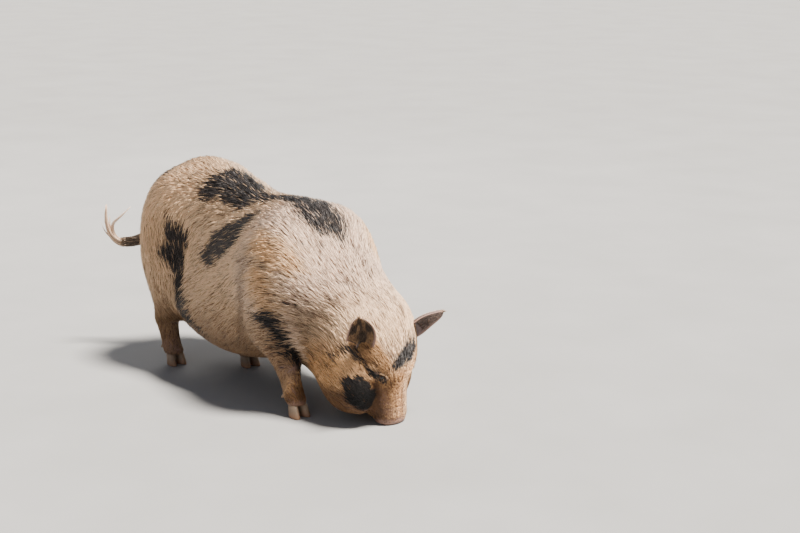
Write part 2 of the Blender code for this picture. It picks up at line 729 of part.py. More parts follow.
def at_height(field, p, height):
    """Move points along the field's slope until they stand at a height over its surface."""
    for _ in range(3):
        p = p - (field(p) - height)[..., None] * slope(field, p)
    return p


def lock_roots(axis_first, axis_last, rings, around, half_turn, rng):
    """Points spread evenly over the flesh round an axis, each ring shifted half a place."""
    first, last = np.array(axis_first), np.array(axis_last)
    along = (last - first) / np.linalg.norm(last - first)
    side = np.cross(along, (0.0, 0.0, 1.0))
    side /= np.linalg.norm(side)
    up = np.cross(side, along)
    starts, ways = [], []
    for ring in range(rings):
        for place in range(around):
            angle = half_turn * (2.0 * (place + 0.5 * (ring % 2) + 0.25) / around - 1.0)
            angle += rng.uniform(-0.06, 0.06)
            share = (ring + 0.5 + rng.uniform(-0.2, 0.2)) / rings
            starts.append(first + share * (last - first))
            ways.append(np.cos(angle) * up + np.sin(angle) * side)
    starts, ways = np.array(starts), np.array(ways)
    reach = np.zeros(len(starts))
    for _ in range(60):
        reach += np.maximum(-0.8 * core(starts + reach[:, None] * ways), 0.0)
    return starts + reach[:, None] * ways


def locks(roots, length, width, rng):
    """Flat, tapered locks that leave the flesh, bend with it and end at the coat's outline."""
    count = len(roots)
    sizes = rng.uniform(0.85, 1.15, (2, count, 1))
    sway = rng.normal(0.0, LOCK_SWAY, (count, 1))
    point = roots.copy()
    last_share = LOCK_STATIONS[0][0]
    rings = []
    for share, height, wide, thick in LOCK_STATIONS:
        normal = slope(core, point)
        way = lie(point, normal)
        across = np.cross(normal, way)
        point = point + (share - last_share) * length * sizes[0] * (way + sway * across)
        point = at_height(core, point, height)
        last_share = share
        normal = slope(core, point)
        across = np.cross(normal, lie(point, normal))
        half = 0.5 * wide * width * sizes[1]
        left = at_height(core, point + half * across, height - 0.3 * thick)
        right = at_height(core, point - half * across, height - 0.3 * thick)
        rings.append(np.stack([left, point - 0.5 * thick * normal, right,
                               point + 0.5 * thick * normal], 1))
    rings = np.stack(rings, 1)
    return [outwards(add_object("lock", *rings_of(lock))) for lock in rings]


def fuse(obj, pieces):
    """Join many closed pieces to an object by one union, and use them up."""
    gathered = bpy.data.collections.new("pieces")
    for piece in pieces:
        gathered.objects.link(piece)
    union = obj.modifiers.new("fuse", "BOOLEAN")
    union.operation = "UNION"
    union.solver = "MANIFOLD"
    union.operand_type = "COLLECTION"
    union.collection = gathered
    settle(obj)
    for piece in pieces:
        remove(piece)
    bpy.data.collections.remove(gathered)
    keep_largest(obj)


def torso_roots(rng):
    roots = lock_roots(TORSO_AXIS[0], TORSO_AXIS[1], TORSO_RINGS, TORSO_AROUND, TORSO_TURN, rng)
    tail_root = np.array(DOCK_POINTS[1])
    clear = np.linalg.norm(roots - tail_root, axis=1) > TAIL_CLEARANCE
    return roots[clear & (roots[:, 2] > BELLY_BARE_BELOW)]


def neck_roots(rng):
    return lock_roots(NECK_AXIS[0], NECK_AXIS[1], NECK_RINGS, NECK_AROUND, NECK_TURN, rng)


def cheek_roots(side, rng):
    """Places on a cheek and jowl, in rows down from behind the ear."""
    places = []
    for row in range(CHEEK_ROWS):
        for step in range(CHEEK_STEPS):
            down = CHEEK_FIRST[0] + row * CHEEK_SPACING[0] + rng.uniform(-0.005, 0.005)
            back = CHEEK_FIRST[1] - (step + 0.5 * (row % 2)) * CHEEK_SPACING[1]
            places.append(from_head(np.array((down, side * CHEEK_START, back))))
    return at_height(core, np.array(places), 0.0)


def leg_roots(name, rng):
    """Places on the outer side of the upper leg, in rings below its cut."""
    top, foot = (np.array(end) for end in SLEEVES[name][:2])
    first = top + LEG_LOCK_SPAN[0] * (foot - top)
    last = top + LEG_LOCK_SPAN[1] * (foot - top)
    outer = math.copysign(1.0, top[1])
    places = []
    for ring in range(LEG_LOCK_RINGS):
        for step in range(LEG_LOCK_AROUND):
            angle = LEG_LOCK_TURN * (2.0 * step / (LEG_LOCK_AROUND - 1) - 1.0)
            angle += 0.35 * (ring % 2) + rng.uniform(-0.1, 0.1)
            middle = first + (ring + 0.5) / LEG_LOCK_RINGS * (last - first)
            way = np.array((math.sin(angle), outer * math.cos(angle), 0.0))
            places.append(middle + LEG_LOCK_START * way)
    return at_height(core, np.array(places), 0.0)


def torso_node():
    """The torso, and the plain skin that the tail stands on."""
    rng = np.random.default_rng(SEED)
    obj = flesh("torso", lambda p: core(p, with_head=False), BODY_LOW, BODY_HIGH, TORSO_STEP,
                TORSO_TRIANGLES)
    root_skin = swollen(obj, GAP)
    fuse(obj, locks(torso_roots(rng), LOCK_LENGTH, LOCK_WIDTH, rng))
    carve(obj, slab(NECK_CUT[0], NECK_CUT[1]), "INTERSECT")
    for name in LEGS:
        carve(obj, sleeve(name, GAP), "DIFFERENCE")
    return obj, root_skin


def neck_node():
    rng = np.random.default_rng(SEED + 1)
    forwards = np.array(NECK_CUT[1]) / np.linalg.norm(NECK_CUT[1])
    obj = flesh("neck", core, NECK_LOW, NECK_HIGH, NECK_STEP, NECK_TRIANGLES)
    fuse(obj, locks(neck_roots(rng), LOCK_LENGTH, LOCK_WIDTH, rng))
    carve(obj, slab(NECK_CUT[0] + GAP * forwards, -forwards), "INTERSECT")
    carve(obj, slab(HEAD_CUT[0], HEAD_CUT[1]), "INTERSECT")
    for name in ("leg_front_right", "leg_front_left"):
        carve(obj, sleeve(name, GAP), "DIFFERENCE")
    return obj


def head_node():
    """The head, and the plain skin that the ears stand on."""
    rng = np.random.default_rng(SEED + 2)
    forwards = np.array(HEAD_CUT[1]) / np.linalg.norm(HEAD_CUT[1])
    obj = flesh("head", lambda p: core(p, with_legs=False), HEAD_LOW, HEAD_HIGH, HEAD_STEP,
                HEAD_TRIANGLES)
    root_skin = swollen(obj, GAP)
    pieces = []
    for side in (-1.0, 1.0):
        pieces += locks(cheek_roots(side, rng), CHEEK_LOCK_LENGTH, CHEEK_LOCK_WIDTH, rng)
    fuse(obj, pieces)
    carve(obj, slab(HEAD_CUT[0] + GAP * forwards, -forwards), "INTERSECT")
    carve(obj, slab((0.0, 0.0, 0.0), (0.0, 0.0, -1.0)), "INTERSECT")
    for name in ("leg_front_right", "leg_front_left"):
        carve(obj, sleeve(name, GAP), "DIFFERENCE")
    for side in (-1.0, 1.0):
        carve(obj, ball(eye_middle(side), EYE_RADIUS + GAP), "DIFFERENCE")
        carve(obj, eye_opening(side), "DIFFERENCE")
    return obj, root_skin


def leg_node(name):
    rng = np.random.default_rng(SEED + 3 + list(LEGS).index(name))
    points, radii = LEGS[name]
    points = np.array(points)
    low = points.min(0) - max(radii) - LEG_MARGIN
    high = points.max(0) + max(radii) + LEG_MARGIN
    high[2] = SLEEVES[name][0][2] + 0.06
    low[2] = 0.005
    obj = flesh(name, lambda p: core(p, with_head=False), low, high, LEG_STEP, LEG_TRIANGLES)
    fuse(obj, locks(leg_roots(name, rng), LEG_LOCK_LENGTH, LEG_LOCK_WIDTH, rng))
    carve(obj, sleeve(name), "INTERSECT")
    carve(obj, slab((0.0, 0.0, CORONET), (0.0, 0.0, -1.0)), "INTERSECT")
    for inner in (-1.0, 1.0):
        carve(obj, dewclaw(name, inner, GAP), "DIFFERENCE")
    return obj


def switch_node():
    """The hair at the end of the tail, in flat tapered strands that curl upwards."""
    tip, before = tail_path()[-1], tail_path()[-2]
    along = (tip - before) / np.linalg.norm(tip - before)
    root = tip + GAP * along
    obj = tube("tail_switch", [root + reach * along for reach, _ in SWITCH_KNOB],
               [radius for _, radius in SWITCH_KNOB])
    pieces = []
    for half_width, strand in STRANDS:
        line = [root + 0.004 * along] + [root + np.array(point) for point in strand]
        path = curve_through(line, STRAND_STATIONS)
        taper = 1.0 - 0.85 * np.linspace(0.0, 1.0, STRAND_STATIONS) ** 1.5
        side = np.array(STRAND_BREADTH) / np.linalg.norm(STRAND_BREADTH)
        way = np.gradient(path, axis=0)
        across = np.cross(way, side)
        across /= np.linalg.norm(across, axis=1)[:, None]
        turn = np.linspace(0.0, 2.0 * math.pi, STRAND_SIDES, endpoint=False)[None, :, None]
        size = (half_width * taper)[:, None, None]
        rings = (path[:, None] + size * np.cos(turn) * side
                 + STRAND_FLATNESS * size * np.sin(turn) * across[:, None])
        pieces.append(outwards(add_object("strand", *rings_of(rings))))
    fuse(obj, pieces)
    carve(obj, slab(root, -along), "INTERSECT")
    return obj


def stand_at_origin():
    """Scale the nodes to size, with the middle of their bounding box's foot at the origin."""
    points = np.array([vert.co for obj in bpy.data.objects for vert in obj.data.vertices])
    middle = 0.5 * (points.min(0) + points.max(0))
    place = Matrix.Scale(SCALE, 4) @ Matrix.Translation((-middle[0], -middle[1], 0.0))
    for obj in bpy.data.objects:
        obj.data.transform(place)


def build():
    for obj in list(bpy.data.objects):
        remove(obj)
    coat = material("coat_pale", (0.70, 0.60, 0.49), 0.75)
    bare = material("skin_grey_pink", (0.33, 0.25, 0.24), 0.65)
    horn = material("hoof_horn", (0.30, 0.25, 0.20), 0.50)
    wet = material("eye_dark", (0.020, 0.014, 0.010), 0.12)
    hair = material("tail_hair", (0.80, 0.74, 0.64), 0.60)

    torso, torso_skin = torso_node()
    finish(torso, "torso", coat)
    finish(neck_node(), "neck", coat)
    head_obj, head_skin = head_node()
    finish(head_obj, "head", coat)
    for side, hand in ((1.0, "left"), (-1.0, "right")):
        finish(ear_node(side, head_skin), f"ear_{hand}", bare)
        finish(ball(eye_middle(side), EYE_RADIUS), f"eye_{hand}", wet)
    finish(tail_node(torso_skin), "tail", bare)
    remove(head_skin)
    remove(torso_skin)
    finish(switch_node(), "tail_switch", hair)
    for name in LEGS:
        finish(leg_node(name), name, coat)
        place = name.removeprefix("leg_")
        for inner, toe in ((1.0, "a"), (-1.0, "b")):
            finish(hoof(name, inner), f"hoof_{place}_{toe}", horn)
            finish(dewclaw(name, inner), f"dewclaw_{place}_{toe}", horn)
    stand_at_origin()


build()
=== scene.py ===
"""Looks of a miniature pig that stands with its head down to root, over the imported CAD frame.

The flesh is a field: each point's distance from a rounded form blended from ellipsoids and
tapered limbs, the same one that the solids come from. The skin is its surface, one piece
without a seam. The coat is thin three-sided tufts that start in the skin and follow the lie
of the hair. Forms are drawn for a rump 0.56 m high and are placed by their scale and shift.
"""
import math

import bpy
import numpy as np
from mathutils import Matrix, Vector


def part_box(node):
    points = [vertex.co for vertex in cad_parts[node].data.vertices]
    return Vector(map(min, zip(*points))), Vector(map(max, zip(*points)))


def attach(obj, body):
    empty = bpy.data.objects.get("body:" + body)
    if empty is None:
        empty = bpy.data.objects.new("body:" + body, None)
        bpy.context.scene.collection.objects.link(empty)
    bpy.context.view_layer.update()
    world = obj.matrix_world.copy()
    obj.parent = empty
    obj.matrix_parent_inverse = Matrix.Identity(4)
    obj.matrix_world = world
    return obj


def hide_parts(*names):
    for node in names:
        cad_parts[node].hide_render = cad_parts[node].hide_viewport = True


bl_info = {
    "name": "Rooting miniature pig",
    "version": (1, 0, 0),
    "blender": (4, 5, 0),
    "location": "3D View > Sidebar > Pig",
    "description": "Skin, coat, ears, tail, eyes and feet of a miniature pig at life size",
    "category": "Add Mesh",
}

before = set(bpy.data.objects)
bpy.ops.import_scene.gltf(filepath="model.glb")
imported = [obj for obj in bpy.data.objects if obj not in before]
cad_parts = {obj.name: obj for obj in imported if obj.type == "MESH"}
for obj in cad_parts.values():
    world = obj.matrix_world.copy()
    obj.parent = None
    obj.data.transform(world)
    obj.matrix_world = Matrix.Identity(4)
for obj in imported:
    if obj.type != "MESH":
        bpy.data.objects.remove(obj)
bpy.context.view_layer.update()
BODY = "root"

# The forms below are drawn for a rump 0.56 m high, and the finished pieces are scaled to size
RUMP_HEIGHT = 0.504
DRAWN_RUMP_HEIGHT = 0.560
SCALE = RUMP_HEIGHT / DRAWN_RUMP_HEIGHT
COAT_DEPTH = 0.010
SHORT_COAT_DEPTH = 0.003
# Where the coat is short: how far x counts on the face, its start and its width, then the
# height and the depth of the step at the feet and the belly
FACE_COAT = (0.35, 0.13, 0.09)
LOW_COAT = (0.18, 0.08)

# Trunk forms: middle, half sizes and softness of the join, mirrored across y = 0
TRUNK = {
    "rump": ((-0.275, 0.0, 0.385), (0.175, 0.145, 0.180), 0.05),
    "ham": ((-0.300, 0.090, 0.325), (0.130, 0.088, 0.200), 0.05),
    "croup": ((-0.165, 0.0, 0.425), (0.120, 0.105, 0.110), 0.05),
    "loin": ((-0.060, 0.0, 0.350), (0.240, 0.140, 0.160), 0.06),
    "ribs": ((0.110, 0.0, 0.315), (0.185, 0.176, 0.186), 0.06),
    "belly": ((-0.060, 0.0, 0.217), (0.250, 0.186, 0.152), 0.06),
    "shoulder": ((0.180, 0.088, 0.310), (0.110, 0.094, 0.172), 0.045),
}
# Limbs: first and last point, first and last radius, softness of the join
FLANK_FOLD = ((-0.13, 0.150, 0.20), (-0.25, 0.120, 0.24), 0.025, 0.040, 0.05)
NAPE = ((0.155, 0.0, 0.350), (0.362, 0.028, 0.222), 0.148, 0.116, 0.05)
THROAT = ((0.23, 0.0, 0.205), (0.350, 0.018, 0.140), 0.105, 0.108, 0.06)

# Head, in its own axes: x from the poll to the snout, y to the left, z out of the brow
POLL = np.array((0.469, 0.044, 0.262))
HEAD_YAW = math.radians(14.0)
HEAD_PITCH = math.radians(86.5)
HEAD_FORMS = {
    "cranium": ((0.050, 0.0, -0.062), (0.074, 0.084, 0.062), 0.03),
    "forehead": ((0.085, 0.0, -0.035), (0.070, 0.080, 0.041), 0.03),
    "brow": ((0.108, 0.042, -0.023), (0.034, 0.030, 0.024), 0.02),
    "cheek": ((0.155, 0.066, -0.078), (0.072, 0.045, 0.048), 0.03),
    "jowl": ((0.142, 0.050, -0.128), (0.092, 0.060, 0.064), 0.04),
}
MUZZLE = ((0.150, 0.0, -0.052), (0.238, 0.0, -0.042), 0.052, 0.037, 0.03)
MUZZLE_SIDE = ((0.190, 0.020, -0.044), (0.236, 0.020, -0.038), 0.030, 0.025, 0.02)
JAW = ((0.120, 0.012, -0.100), (0.218, 0.010, -0.070), 0.045, 0.024, 0.03)
SNOUT_DISC = ((0.256, 0.0, -0.040), (0.013, 0.041, 0.033), 0.010)
HEAD_SOFTNESS = 0.04
NOSTRIL = np.array((0.266, 0.013, -0.038))
NOSTRIL_RADIUS = 0.005
NOSTRIL_DEPTH = 0.014
MOUTH = ((0.246, 0.016, -0.070), (0.176, 0.050, -0.084))
MOUTH_WIDTH = 0.0035
MOUTH_DEPTH = 0.0055
LIP_SWELL = 0.0025
LIP_OFFSET = 2.6
EYE = np.array((0.1280, 0.0600, -0.0180))
EYE_RADIUS = 0.0105
EYE_SOCKET = ((0.004, 0.005, 0.009), 0.015, 0.0045)
# Folds of the face: first and last point, width and depth
FOLDS = (
    ((0.069, 0.105, -0.065), (0.088, 0.097, -0.046), 0.007, 0.0060),
    ((0.088, 0.097, -0.046), (0.113, 0.088, -0.031), 0.006, 0.0060),
    ((0.113, 0.088, -0.031), (0.124, 0.076, -0.021), 0.005, 0.0035),
    ((0.054, 0.102, -0.059), (0.068, 0.114, -0.096), 0.009, 0.0075),
    ((0.148, 0.044, -0.008), (0.143, 0.076, -0.028), 0.005, 0.0030),
    ((0.148, 0.010, 0.003), (0.151, 0.028, 0.000), 0.005, 0.0020),
    ((0.164, 0.050, -0.022), (0.180, 0.062, -0.038), 0.006, 0.0025),
)

# Legs: top, elbow or stifle, knee or hock, fetlock, coronet, and a radius for each
FORE_RADII = (0.065, 0.050, 0.0285, 0.0240, 0.0265)
HIND_RADII = (0.085, 0.060, 0.0300, 0.0240, 0.0265)
LEGS = {
    "leg_front_right": (((0.195, -0.100, 0.290), (0.178, -0.122, 0.205), (0.235, -0.116, 0.115),
                         (0.258, -0.115, 0.052), (0.268, -0.115, 0.034)), FORE_RADII),
    "leg_front_left": (((0.195, 0.100, 0.290), (0.170, 0.122, 0.205), (0.205, 0.120, 0.115),
                        (0.212, 0.120, 0.052), (0.222, 0.120, 0.034)), FORE_RADII),
    "leg_hind_right": (((-0.290, -0.095, 0.300), (-0.275, -0.113, 0.225), (-0.335, -0.112, 0.128),
                        (-0.312, -0.112, 0.052), (-0.302, -0.112, 0.034)), HIND_RADII),
    "leg_hind_left": (((-0.280, 0.090, 0.300), (-0.245, 0.110, 0.220), (-0.245, 0.085, 0.118),
                       (-0.175, 0.040, 0.052), (-0.160, 0.034, 0.034)), HIND_RADII),
}
THIGH_SOFTNESS = 0.03
SHIN_SOFTNESS = 0.008

# Eyes: where the opening looks, the way its corners lie, its half sizes and its lids
EYE_AIM = np.array((0.33, 0.52, 0.79))
EYE_SLIT = np.array((-0.55, 0.72, -0.31))
EYE_OPENING = np.array((0.0115, 0.0030, 0.0300))
OPENING_SOFTNESS = 0.0015
LID_SWELL = 0.0022
LID_WIDTH = 0.0026
LID_REACH = 0.024
UPPER_LID_SWELL = 0.6
UPPER_LID_EDGE = 0.003
CORNEA_SWELL = 0.0012

# Ears, left (1) and right (-1): root in the head's axes, reach and facing in the pig's, half
# width, how far the leaf curls at its root and its tip, and how far its root is drawn in
EARS = {
    1.0: ((0.034, 0.084, -0.014), (0.044, 0.046, 0.043), (0.76, -0.12, -0.64),
          0.048, (0.82, 0.95), 0.0),
    -1.0: ((0.048, -0.097, -0.050), (0.016, -0.013, 0.078), (0.83, -0.49, -0.25),
           0.049, (0.80, 0.35), 0.85),
}
EAR_PINCH_END = 0.30
EAR_MOUTH = 0.020
EAR_MOUTH_RADIUS = 0.034
EAR_SUNK = 0.016
EAR_ROWS = 60
EAR_COLUMNS = 41
EAR_LEAN = 0.006
EAR_THICKNESS = 0.0036
EAR_BEND = 0.010

# Feet: each toe's levels give height, half length, half width and how far it leans forwards
CORONET = 0.034
HOOF_SIDES = 40
HOOF_ROWS = 14
HOOF_SPREAD = 0.0128
HOOF_LEVELS = ((0.0, 0.0240, 0.0110, 0.0080), (0.006, 0.0235, 0.0112, 0.0065),
               (CORONET, 0.0175, 0.0105, 0.0010))
HOOF_EDGE = 0.0012
DEWCLAW_ROOT = np.array((-0.0170, 0.0120, 0.0020))
DEWCLAW_REACH = np.array((-0.0130, 0.0030, -0.0150))
DEWCLAW_RADIUS = 0.0065

# Where the flesh ends: inside the hooves, and just above the floor at the snout. The z in the
# head's axes tells the snout from the feet
FOOT_END = 0.030
FOOT_SOFTNESS = 0.006
SNOUT_END = 0.0016
SNOUT_SIDE = (-0.197, -0.178)
LEAST_SOFTNESS = 0.25
FLOOR_GAP = 0.0004

# Tail: the dock's middle line and radii, then the strands of its switch
DOCK_POINTS = ((-0.405, 0.0, 0.392), (-0.448, -0.008, 0.362), (-0.495, -0.050, 0.323),
               (-0.528, -0.084, 0.303), (-0.556, -0.110, 0.297))
DOCK_STATIONS = 60
DOCK_SIDES = 24
DOCK_RADII = (0.0182, 0.0108)
STRANDS = (
    (0.0100, 240, ((-0.014, -0.018, 0.008), (-0.023, -0.031, 0.030), (-0.029, -0.036, 0.070),
                   (-0.028, -0.033, 0.110))),
    (0.0062, 90, ((-0.013, -0.017, 0.011), (-0.018, -0.024, 0.036), (-0.010, -0.022, 0.058),
                  (0.010, -0.006, 0.079), (0.022, 0.018, 0.105))),
    (0.0040, 14, ((-0.018, -0.022, 0.008), (-0.032, -0.040, 0.032), (-0.040, -0.050, 0.066))),
    (0.0045, 36, ((-0.015, -0.019, 0.007), (-0.026, -0.034, 0.030), (-0.033, -0.040, 0.062))),
    (0.0045, 36, ((-0.013, -0.017, 0.010), (-0.022, -0.028, 0.040), (-0.022, -0.028, 0.080))),
)

# The plane where the head begins, by a point and its direction, and how finely the skin is
# worked out: finer below a height and ahead of that plane, finest at the features
HEAD_CUT = (np.array((0.425, 0.0, 0.340)), np.array((0.864, 0.0, -0.504)))
BODY_LOW = (-0.47, -0.23, -0.011)
BODY_HIGH = (0.52, 0.23, 0.60)
SKIN_STEP = 0.0065
FINE_BELOW = 0.10
FINE_AHEAD = -0.02
FEATURE_MARGIN = 0.008
EYE_MARGIN = 0.014
EYE_FINEST = 0.022
SKIN_SHARE = 0.70
SLOPE_REACH = 0.0012

# The coat: pieces by where their roots lie, from low to high along x, and the legs and head
PIECES = {
    "coat_rump": (-1.0, -0.315),
    "coat_haunch": (-0.315, -0.170),
    "coat_loin": (-0.170, -0.035),
    "coat_ribs": (-0.035, 0.095),
    "coat_shoulder": (0.095, 0.235),
    "coat_neck": (0.235, 9.0),
}
UV_PATCH = 0.003
CLOSENESS = 0.40
BARE_THINNING = 0.80
EYE_CLEAR = 0.0012
NOSTRIL_CLEAR = 0.009
END_CLEAR = 0.003
ROOT_DEPTH = 0.0006
# Where the legs' own pieces end: height, half width round the foot, reach round the bone
LEG_PIECE = (0.20, 0.10, 0.055)
EAR_HAIRS = (600, 4600)
DOCK_HAIRS = (300, 2600)
SWITCH_RADIUS = 0.00095
SWITCH_STATIONS = 14
SWITCH_SIDES = 4
UPPER_LASHES = 36
LOWER_LASHES = 16
LASH_WIDTH = 0.00060
EYEBALL_ROWS = 40
EYEBALL_SIDES = 48
# One tuft: how its length, its width and its heights at the middle and the tip vary, each by
# its mean, spread, least and most; then its width by its length, and how far it sways
LENGTH_SPREAD = (1.0, 0.28, 0.5, 1.6)
WIDTH_SPREAD = (1.0, 0.25, 0.5, 1.6)
MIDDLE_HEIGHT = (0.42, 0.12, 0.15, 0.8)
TIP_HEIGHT = (0.88, 0.28, 0.4, 1.35)
WIDTH_POWER = 0.55
LEAST_SHARE = 0.25
TUFT_THICKNESS = 0.35
CLUMPS = ((1.0, 0.016, 5), (0.7, 0.006, 6))
SWAY = (0.55, 0.10)
# Streaks of lightness: how far along the hair, in how many steps, the weights, sizes and seeds
# of the noise, and its contrast
STREAK_REACH = 0.020
STREAK_STEPS = 7
STREAK_NOISE = ((0.55, 0.0042, 8), (0.45, 0.0022, 9))
STREAK_CONTRAST = (0.375, 0.505)
# Lightness of the tufts: the least, the streaks' share and the spread, then what the rump, the jowl
# and the fringe add. The rump's top gets painted sunlight, the jowl painted light over its shade, and
# the fringe pale hair. Spread of the dark edge and odd pale tufts, on the head and elsewhere
LIGHTNESS = (0.05, 0.95, 0.10)
RUMP_TOP_PAINTED_LIGHT = 0.26
JOWL_PAINTED_LIGHT = 0.20
FRINGE_LIGHT = 0.8
DARK_SPREAD = (0.12, 0.22)
ODD_TUFTS = (0.015, 0.06)
SEED = 7
# Numbers that scramble the cells of a lattice and a seed into noise
SCRAMBLE = (73856093, 19349663, 83492791)
SEED_SCRAMBLE = (40503, 1274126177, 668265263)

# Dark markings, two of them partly painted shade: chains of points, each with a radius
DARK_PATCHES = {
    "loin": ((-0.118, -0.066, 0.508, 0.040), (-0.100, -0.012, 0.532, 0.050),
             (-0.045, -0.032, 0.515, 0.058), (0.015, -0.050, 0.500, 0.040),
             (0.055, -0.030, 0.505, 0.027), (0.101, -0.015, 0.510, 0.024),
             (0.140, 0.008, 0.511, 0.032), (0.190, 0.012, 0.502, 0.046),
             (0.232, 0.004, 0.480, 0.054), (0.268, 0.008, 0.455, 0.042),
             (0.298, 0.016, 0.428, 0.020)),
    "shoulder_line": ((0.228, -0.052, 0.480, 0.012), (0.262, -0.022, 0.458, 0.030),
                      (0.304, 0.008, 0.422, 0.014)),
    "flank": ((0.100, -0.100, 0.478, 0.018), (0.064, -0.126, 0.442, 0.038),
              (0.014, -0.138, 0.410, 0.040), (-0.024, -0.136, 0.400, 0.028)),
    "flank_spot": ((-0.030, -0.143, 0.374, 0.034), (-0.064, -0.143, 0.360, 0.022)),
    "thigh": ((-0.236, -0.160, 0.418, 0.020), (-0.205, -0.150, 0.410, 0.034),
              (-0.162, -0.140, 0.394, 0.018)),
    "thigh_low": ((-0.205, -0.155, 0.395, 0.030), (-0.226, -0.165, 0.362, 0.034),
                  (-0.255, -0.175, 0.355, 0.022)),
    # Black hair along the fold between the thigh and the flank, with painted shade in the fold below
    "stifle": ((-0.205, -0.158, 0.345, 0.036), (-0.192, -0.157, 0.312, 0.031),
               (-0.166, -0.166, 0.268, 0.031), (-0.124, -0.184, 0.228, 0.029),
               (-0.096, -0.186, 0.194, 0.022), (-0.066, -0.178, 0.172, 0.010)),
    # Black hair in the armpit, running down into painted shadow in the gap between the foreleg and the
    # neck
    "arm": ((0.206, -0.180, 0.262, 0.011), (0.235, -0.166, 0.250, 0.021),
            (0.258, -0.142, 0.232, 0.018), (0.266, -0.122, 0.190, 0.022),
            (0.264, -0.108, 0.150, 0.020), (0.262, -0.097, 0.120, 0.012)),
    "croup_edge": ((-0.350, -0.098, 0.508, 0.014), (-0.318, -0.098, 0.532, 0.022)),
    "left_flank": ((0.050, 0.160, 0.350, 0.040), (0.000, 0.165, 0.310, 0.026)),
    "left_haunch": ((-0.260, 0.165, 0.420, 0.030), (-0.310, 0.165, 0.370, 0.040)),
    "left_arm": ((0.200, 0.165, 0.270, 0.026), (0.225, 0.150, 0.220, 0.016)),
    "nape_spot": ((0.315, 0.088, 0.382, 0.007), (0.316, 0.088, 0.380, 0.006)),
    "poll_spot": ((0.366, 0.103, 0.326, 0.005), (0.367, 0.103, 0.325, 0.005)),
}
# The same on the head, in the head's axes, then those that stand on both its sides
HEAD_PATCHES = {
    "forehead": ((0.114, -0.022, 0.010, 0.014), (0.105, -0.004, 0.013, 0.021),
                 (0.096, 0.016, 0.014, 0.024), (0.093, 0.034, 0.012, 0.018)),
    "cheek": ((0.153, -0.096, -0.049, 0.026), (0.180, -0.087, -0.047, 0.028)),
    "cheek_low": ((0.150, -0.107, -0.067, 0.018), (0.186, -0.101, -0.065, 0.017)),
    "cheek_end": ((0.178, -0.086, -0.050, 0.026), (0.200, -0.080, -0.050, 0.020)),
    "left_cheek": ((0.150, 0.105, -0.070, 0.018), (0.175, 0.095, -0.060, 0.022)),
}
EYE_BANDS = {
    "eye": ((0.109, 0.089, -0.032, 0.008), (0.124, 0.080, -0.022, 0.010),
            (0.137, 0.066, -0.015, 0.011), (0.148, 0.054, -0.011, 0.007)),
}
# Painted shade on both sides of the head, in the head's axes: the hollow of the temple and the shadow
# under the ear, laid into the dark mask at SHADED_SHARE
SHADED_BANDS = {
    "temple": ((0.066, 0.102, -0.062, 0.012), (0.078, 0.098, -0.051, 0.014),
               (0.091, 0.092, -0.041, 0.014), (0.108, 0.085, -0.031, 0.012)),
    "under_ear": ((0.064, 0.101, -0.050, 0.012), (0.069, 0.105, -0.066, 0.015),
                  (0.079, 0.112, -0.083, 0.016), (0.092, 0.116, -0.102, 0.012)),
}
# Faint dark marks in the head's axes, laid in the same way: a spot on the brow and a line along the
# fold of the nose
FAINT_PATCHES = {
    "brow_spot": ((0.006, 0.007, 0.010, 0.003), (0.020, 0.007, 0.013, 0.004),
                  (0.034, -0.001, 0.015, 0.003)),
    "nose_fold": ((0.139, -0.012, 0.006, 0.001), (0.150, 0.010, 0.003, 0.002)),
}
# Between the ear and the eye on both sides: brown hair, and painted shade over the same band
TEMPLE_BROWN_AND_SHADE = ((0.056, 0.097, -0.044, 0.022), (0.070, 0.090, -0.028, 0.026),
              (0.095, 0.073, -0.006, 0.024), (0.118, 0.055, 0.000, 0.016))
# Painted shade along the fold beside the cheek patch
CHEEK_FOLD_SHADE = ((0.156, -0.068, -0.025, 0.012), (0.183, -0.058, -0.028, 0.014),
              (0.210, -0.050, -0.026, 0.012))
NOSE_TAN = ((0.150, -0.040, -0.006, 0.012), (0.178, -0.025, -0.008, 0.015),
            (0.210, -0.019, -0.008, 0.013))
# Along the far side of the muzzle: pink bare skin with sparser hair, partly the skin's colour and
# partly a painted highlight of its sunlit side
NOSE_PINK_AND_HIGHLIGHT = ((0.174, 0.048, -0.020, 0.012), (0.201, 0.043, -0.020, 0.014),
             (0.228, 0.032, -0.014, 0.012))
TAN_PATCHES = {
    "shoulder_tan": ((0.205, -0.158, 0.424, 0.030), (0.262, -0.134, 0.398, 0.026),
                     (0.290, -0.118, 0.365, 0.020)),
    "elbow_tan": ((0.225, -0.174, 0.345, 0.034), (0.250, -0.158, 0.290, 0.026)),
}
# Painted shade in the groove behind the elbow, on the right side, and the width of its soft edge
SHADED_GROOVES = {
    "behind_elbow": ((0.159, -0.163, 0.429, 0.004), (0.164, -0.180, 0.378, 0.009),
                     (0.157, -0.187, 0.321, 0.015), (0.138, -0.180, 0.253, 0.018),
                     (0.100, -0.155, 0.188, 0.024)),
}
GROOVE_EDGE = 0.014
SHADED_SHARE = 0.60
PATCH_EDGE = 0.011
PATCH_RAGGED = 0.016
HEAD_PATCH_EDGE = 0.005
HEAD_PATCH_RAGGED = 0.012
FRINGE = ((0.296, -0.136, 0.258, 0.010), (0.298, -0.122, 0.218, 0.014),
          (0.294, -0.108, 0.172, 0.014), (0.290, -0.094, 0.132, 0.010))
# Axes that the coat pieces are unwrapped round: the trunk's, and the head's in its own axes
TORSO_AXIS = ((-0.42, 0.0, 0.330), (0.30, 0.0, 0.290))
HEAD_AXIS = ((-0.02, 0.0, -0.06), (0.26, 0.0, -0.05))

